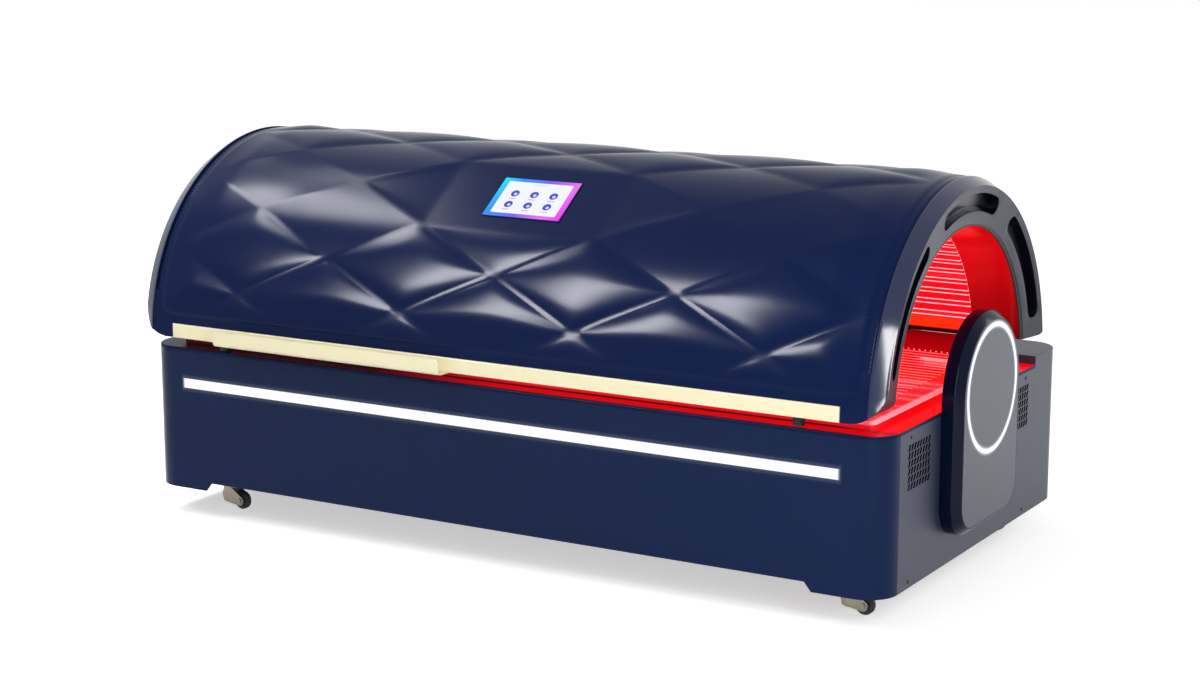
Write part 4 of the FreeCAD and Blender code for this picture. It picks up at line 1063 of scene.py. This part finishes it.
class LIGHTBED_OT_screen(bpy.types.Operator):
    """Touch screen with a lit start page: a pale panel with two rows of round buttons"""
    bl_idname = "lightbed.screen"
    bl_label = "Touch screen"
    makers = [screen_field, screen_white, screen_button, screen_mark, screen_dash, moulded_navy]
    glass_size, frame_size, page_size, title_size = (217, 136), (223, 142), (184, 113), (46, 4)
    button_size, dot_size, dash_size = (23, 23), (9, 9), (20, 3)
    columns, rows, title_y, dash_y, dot_shift = (-55, 0, 55), (-25, 14), 49, -18, 2
    stand, page, ink, button, dot = 2.5, 0.15, 0.2, 0.25, 0.3

    def plate(self, bm, maker, middle, size, corner, low, high):
        """A plate with rounded corners between two heights over the glass, all in millimetres."""
        (x, y), (wide, tall) = middle, size
        part = bmesh.new()
        corners = [((x + a * wide / 2) * MM, (y + b * tall / 2) * MM, self.level + low * MM)
                   for a, b in SQUARE]
        rounded_face(part, corners, [corner * MM] * 4, segments=6)
        extrude(part, part.faces[:], UP * (high - low) * MM)
        paint(part.faces, self.makers.index(maker))
        join(bm, part)

    def execute(self, context):
        c = context.scene.light_bed.canopy
        drop = (c.half_angle * c.radius) ** 2 / (2 * c.radius)
        self.level = c.radius + c.rise - drop + self.stand * MM
        bm = bmesh.new()
        self.plate(bm, moulded_navy, (0, 0), self.frame_size, corner=3, low=-8, high=-0.8)
        self.plate(bm, screen_field, (0, 0), self.glass_size, corner=1, low=-2, high=0)
        self.plate(bm, screen_white, (0, 0), self.page_size, corner=3, low=0, high=self.page)
        self.plate(bm, screen_mark, (0, self.title_y), self.title_size, 1.9, self.page, self.ink)
        for x in self.columns:
            for y in self.rows:
                spot = (x + self.dot_shift, y - self.dot_shift)
                self.plate(bm, screen_button, (x, y), self.button_size, 11.4, self.page, self.button)
                self.plate(bm, screen_mark, spot, self.dot_size, 4.4, self.button, self.dot)
                self.plate(bm, screen_dash, (x, y + self.dash_y), self.dash_size, 1.4, self.page, self.ink)
        turn = Matrix.Rotation(-c.screen_angle, 4, "X")
        place = Matrix.Translation((c.screen_x, c.axis_y, c.axis_z)) @ turn
        bmesh.ops.transform(bm, matrix=place, verts=bm.verts)
        new_piece("start_page", bm, "canopy", self.makers, ["touch_screen", "screen_bezel"])
        return {"FINISHED"}


# Screws, filters and edging

class LIGHTBED_OT_fasteners(bpy.types.Operator):
    """Small round screws on the panels, and black sheets and frames of painted shade in the grilles"""
    bl_idname = "lightbed.fasteners"
    bl_label = "Panel screws, filters and edging"
    head: length("Screw head", 4.5, "Radius of a screw head")
    side_inset, edge_inset, back_inset, back_columns = 62 * MM, 15 * MM, 20 * MM, 5
    grille_ys, grille_z = (-338 * MM, 287 * MM), 364 * MM
    filter_half, filter_corner, filter_depth = 58 * MM, 8 * MM, 2.2 * MM
    rows, row_pitch, columns, column_pitch = 6, 18 * MM, 8, 16 * MM
    slot_lean, slot_half, slot_tall = 3 * MM, 4.6 * MM, 7.6 * MM
    edging_width, edging_depth, sunk = 1.8 * MM, 0.6 * MM, 0.3 * MM

    def screw(self, bm, place, turn):
        """A domed screw head with a round socket."""
        rise, dome, wall = 1.2 * MM, 0.6 * MM, 1.4 * MM
        part = bmesh.new()
        bmesh.ops.create_circle(part, cap_ends=True, segments=16, radius=self.head)
        crown = extrude(part, part.faces[:], UP * rise)
        bmesh.ops.inset_region(part, faces=crown, thickness=rise, depth=dome)
        bmesh.ops.inset_region(part, faces=crown, thickness=wall, depth=0)
        extrude(part, crown, -UP * rise)
        bmesh.ops.transform(part, matrix=Matrix.Translation(place) @ turn, verts=part.verts)
        join(bm, part)

    def filters(self, inside, side):
        """Two black sheets behind an end panel, as painted shade seen through its grille slots."""
        bm = bmesh.new()
        half, z = self.filter_half, self.grille_z
        for y in self.grille_ys:
            corners = [(inside, y + a * half, z + b * half) for a, b in SQUARE]
            sheet = bmesh.new()
            rounded_face(sheet, corners, [self.filter_corner] * 4, segments=4)
            extrude(sheet, sheet.faces[:], ALONG * side * self.filter_depth)
            join(bm, sheet)
        return bm

    def slot_edging(self, bm, x, y, z, side):
        """A thin black frame round one slanted grille slot, as painted shade at its edges."""
        part = bmesh.new()
        corners = [(x, y + b * self.slot_lean + a * self.slot_half, z + b * self.slot_tall)
                   for a, b in SQUARE]
        middle = part.faces.new([part.verts.new(corner) for corner in corners])
        part.normal_update()
        bmesh.ops.inset_region(part, faces=[middle], thickness=self.edging_width, use_boundary=True,
                               use_even_offset=True)
        bmesh.ops.delete(part, geom=[middle], context="FACES")
        extrude(part, part.faces[:], ALONG * side * self.edging_depth)
        join(bm, part)

    def edging(self, outside, side):
        """Black frames of painted shade round all slots of an end panel."""
        bm = bmesh.new()
        for middle in self.grille_ys:
            for row in range(self.rows):
                for column in range(self.columns):
                    y = middle + (column - (self.columns - 1) / 2) * self.column_pitch
                    z = self.grille_z + (row - (self.rows - 1) / 2) * self.row_pitch
                    self.slot_edging(bm, outside, y, z, side)
        return bm

    def execute(self, context):
        for name, side in SIDES:
            low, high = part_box("end_panel_" + name)
            inside, outside = (low.x, high.x) if side > 0 else (high.x, low.x)
            bm = bmesh.new()
            turn = Matrix.Rotation(side * math.pi / 2, 4, "Y")
            for y in (low.y + self.side_inset, high.y - self.side_inset):
                for z in (low.z + self.edge_inset, high.z - self.edge_inset):
                    self.screw(bm, (outside, y, z), turn)
            new_piece("panel_screws_" + name, bm, "base", [black_steel])
            # painted shade: a black sheet behind each grille
            bm = self.filters(inside + side * self.sunk, side)
            new_piece("grille_filters_" + name, bm, "base", [black_foam])
            # painted shade: black frames round the grille slots
            bm = self.edging(outside - side * self.sunk, side)
            new_piece("grille_edging_" + name, bm, "base", [black_foam])
        low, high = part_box("back_panel")
        bm = bmesh.new()
        turn = Matrix.Rotation(-math.pi / 2, 4, "X")
        pitch = (high.x - low.x - 2 * self.back_inset) / (self.back_columns - 1)
        for step in range(self.back_columns):
            for z in (low.z + self.edge_inset, high.z - self.edge_inset):
                self.screw(bm, (low.x + self.back_inset + step * pitch, high.y, z), turn)
        new_piece("back_screws", bm, "base", [black_steel])
        return {"FINISHED"}


# Lit interior

class LIGHTBED_OT_interior(bpy.types.Operator):
    """Lit liner, bed sheet and bolster, with the row of small lights at the foot of the bolster"""
    bl_idname = "lightbed.interior"
    bl_label = "Lit interior"
    pitch: length("Light pitch", 15, "Distance between the small lights")
    radius, lift, inset, margin = 1.8 * MM, 0.5 * MM, 8 * MM, 40 * MM

    def execute(self, context):
        dress(liner, "canopy_liner")
        dress(bed_top, "bed_sheet")
        dress(red_deep, "rear_bolster")
        dress(red_tray, "bed_tray")
        dress(red_field, "canopy_reflector")
        dress(led_line, "canopy_led_strips", "bed_led_strips")
        low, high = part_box("rear_bolster")
        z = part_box("bed_sheet")[1].z + self.lift
        bm = bmesh.new()
        count = int((high.x - low.x - self.margin) / self.pitch)
        for step in range(count):
            x = (step - (count - 1) / 2) * self.pitch
            place = Matrix.Translation((x, low.y + self.inset, z))
            bmesh.ops.create_icosphere(bm, subdivisions=1, radius=self.radius, matrix=place)
        new_piece("bolster_lights", bm, "base", [led_line])
        return {"FINISHED"}


# Finishes of the solids

class LIGHTBED_OT_finishes(bpy.types.Operator):
    """Finishes of the solids whose shape is right as it is"""
    bl_idname = "lightbed.finishes"
    bl_label = "Finishes of the frame"

    def execute(self, context):
        corners = [place + "_" + name for place in ("front", "rear") for name, side in SIDES]
        dress(strip_navy, "front_panel")
        dress(rear_beam, "canopy_rear_beam")
        dress(rim_navy, "deck_rim")
        dress(satin_navy, "end_panel_left", "end_panel_right", "rear_housing", "back_panel")
        dress(strip_lens, "front_light_strip")
        dress(cream_coat, "trim_rail", "lift_handle")
        dress(black_plastic, "canopy_front_beam", "power_inlet", "power_rocker", "switch_frame",
              "fan_frames", *["fan_rotor_" + corner for corner in corners])
        dress(frame_coat, "base_frame", "electronics_shelf", "hinge_arms", "hinge_brackets",
              "strut_anchors", "strut_cylinder_left", "strut_cylinder_right")
        dress(plain_steel, "hinge_pins", "strut_rod_left", "strut_rod_right")
        dress(sheet_aluminium, "strip_channel", "canopy_ribs", "led_drivers")
        dress(satin_nickel, "caster_plates", *["caster_fork_" + corner for corner in corners])
        dress(black_rubber, "rubber_stops", *["caster_wheel_" + corner for corner in corners])
        return {"FINISHED"}


# Stage

def background_rays(add):
    """1 for rays that see the white background straight on, in gloss or through glass."""
    ray = add("LightPath").node.outputs
    gloss = add("Math", (ray["Is Camera Ray"], ray["Is Glossy Ray"]), operation="MAXIMUM")
    return add("Math", (gloss, ray["Is Transmission Ray"]), operation="MAXIMUM")


PAPER_RUN = (1300, 5000)


def studio_paper(bed):
    # Seamless studio paper: matt and even, lifted to white away from the bed
    stage = bed.stage
    made, add, shader = new_material("studio_paper", Roughness=0.9)
    place = add("TexCoord", out="Object")
    cloud = add("TexNoise", {"Vector": place, "Scale": per_mm(600)})
    tones = {"Factor": cloud, "A": shade(stage.floor, 0.985), "B": stage.floor}
    mix = add("Mix", tones, data_type="RGBA")
    away = add("VectorMath", (place,), operation="LENGTH")
    lift = add("MapRange", {"Value": away, **span(*PAPER_RUN, stage.near_lift, stage.lift)})
    level = add("Math", (background_rays(add), lift), operation="MULTIPLY")
    fill(shader, {"Base Color": mix, "Emission Color": mix, "Emission Strength": level})
    return made


class LIGHTBED_OT_stage(bpy.types.Operator):
    """Pale floor, soft studio light and the camera at the photograph's angle"""
    bl_idname = "lightbed.stage"
    bl_label = "Stage"
    floor_half = 20

    def floor(self, scene):
        """A large floor of studio paper."""
        bm = bmesh.new()
        bmesh.ops.create_grid(bm, x_segments=1, y_segments=1, size=self.floor_half)
        mesh = bpy.data.meshes.new("floor")
        bm.to_mesh(mesh)
        bm.free()
        mesh.materials.append(finish(studio_paper))
        floor = bpy.data.objects.new("floor", mesh)
        scene.collection.objects.link(floor)

    def studio(self, scene, ambient):
        """White for the rays that see the background, and a weaker even light for the rest."""
        scene.world = bpy.data.worlds.new("studio")
        scene.world.use_nodes = True
        tree = scene.world.node_tree
        add = partial(add_node, tree)
        level = add("MapRange", {"Value": background_rays(add), "To Min": ambient, "To Max": 1.0})
        fill(tree.nodes["Background"], {"Color": linear("#FFFFFF"), "Strength": level})

    def softbox(self, name, place, aim, size, watts, matt=True, gloss=True):
        """A flat lamp that looks at a point; matt and gloss say in which light it shows."""
        lamp = bpy.data.lights.new(name, "AREA")
        lamp.shape = "RECTANGLE"
        lamp.size, lamp.size_y = size
        lamp.energy = watts
        made = bpy.data.objects.new(name, lamp)
        made.location = place
        made.visible_diffuse, made.visible_glossy = matt, gloss
        made.rotation_euler = (Vector(aim) - Vector(place)).to_track_quat("-Z", "Y").to_euler()
        bpy.context.scene.collection.objects.link(made)

    def camera(self, scene, stage):
        """The camera, turned round its target."""
        camera = bpy.data.cameras.new("camera")
        camera.lens = stage.lens
        camera.sensor_width = 36
        camera.sensor_fit = "HORIZONTAL"
        made = bpy.data.objects.new("camera", camera)
        around, above = stage.azimuth, stage.elevation
        flat = math.cos(above)
        back = Vector((math.sin(around) * flat, -math.cos(around) * flat, math.sin(above)))
        made.location = Vector(stage.target) + back * stage.distance
        made.rotation_euler = (-back).to_track_quat("-Z", "Y").to_euler()
        scene.collection.objects.link(made)
        scene.camera = made

    def execute(self, context):
        scene = context.scene
        stage = scene.light_bed.stage
        scene.view_settings.view_transform = "Standard"
        self.floor(scene)
        self.studio(scene, stage.ambient)
        top, front = (-0.6, -0.2, 0.7), (0, -0.3, 0.7)
        self.softbox("overhead", (-2.1, -0.5, 3.3), top, (1.8, 0.5), stage.overhead)
        self.softbox("front_left", (-1.7, -3.05, 4.5), front, (0.5, 3.0), stage.side, gloss=False)
        self.softbox("front_left_card", (-2.1, -3.9, 2.9), front, (0.9, 2.0), stage.card, matt=False)
        self.softbox("overhead_card", (-2.35, -0.8, 3.1), top, (1.2, 0.5), stage.top_card, matt=False)
        self.softbox("right_front", (2.8, -2.6, 1.4), (1.0, -0.5, 0.6), (0.35, 2.2), stage.front)
        self.softbox("right_rear", (3.6, 2.8, 1.9), (1.0, 0, 0.6), (2.6, 2.2), stage.end)
        self.camera(scene, stage)
        return {"FINISHED"}


# Sidebar and registration

OPERATORS = (LIGHTBED_OT_skin, LIGHTBED_OT_end_caps, LIGHTBED_OT_columns, LIGHTBED_OT_screen,
             LIGHTBED_OT_fasteners, LIGHTBED_OT_interior, LIGHTBED_OT_finishes, LIGHTBED_OT_stage)


class LIGHTBED_PT_sidebar(bpy.types.Panel):
    """Sidebar with the bed's settings and its pieces"""
    bl_idname = "LIGHTBED_PT_sidebar"
    bl_label = "Light Bed"
    bl_space_type = "VIEW_3D"
    bl_region_type = "UI"
    bl_category = "Light Bed"

    def draw(self, context):
        bed = context.scene.light_bed
        for group in (bed.canopy, bed.finish, bed.glow, bed.stage):
            box = self.layout.box()
            for key in group.__annotations__:
                box.prop(group, key)
        for operator in OPERATORS:
            self.layout.operator(operator.bl_idname)


CLASSES = (CanopySettings, FinishSettings, GlowSettings, StageSettings, BedSettings) + OPERATORS + (
    LIGHTBED_PT_sidebar,)


def register():
    for made in CLASSES:
        bpy.utils.register_class(made)
    bpy.types.Scene.light_bed = PointerProperty(type=BedSettings)


def unregister():
    del bpy.types.Scene.light_bed
    for made in reversed(CLASSES):
        bpy.utils.unregister_class(made)


def main():
    register()
    for operator in OPERATORS:
        group, name = operator.bl_idname.split(".")
        getattr(getattr(bpy.ops, group), name)()


if __name__ == "__main__":
    main()
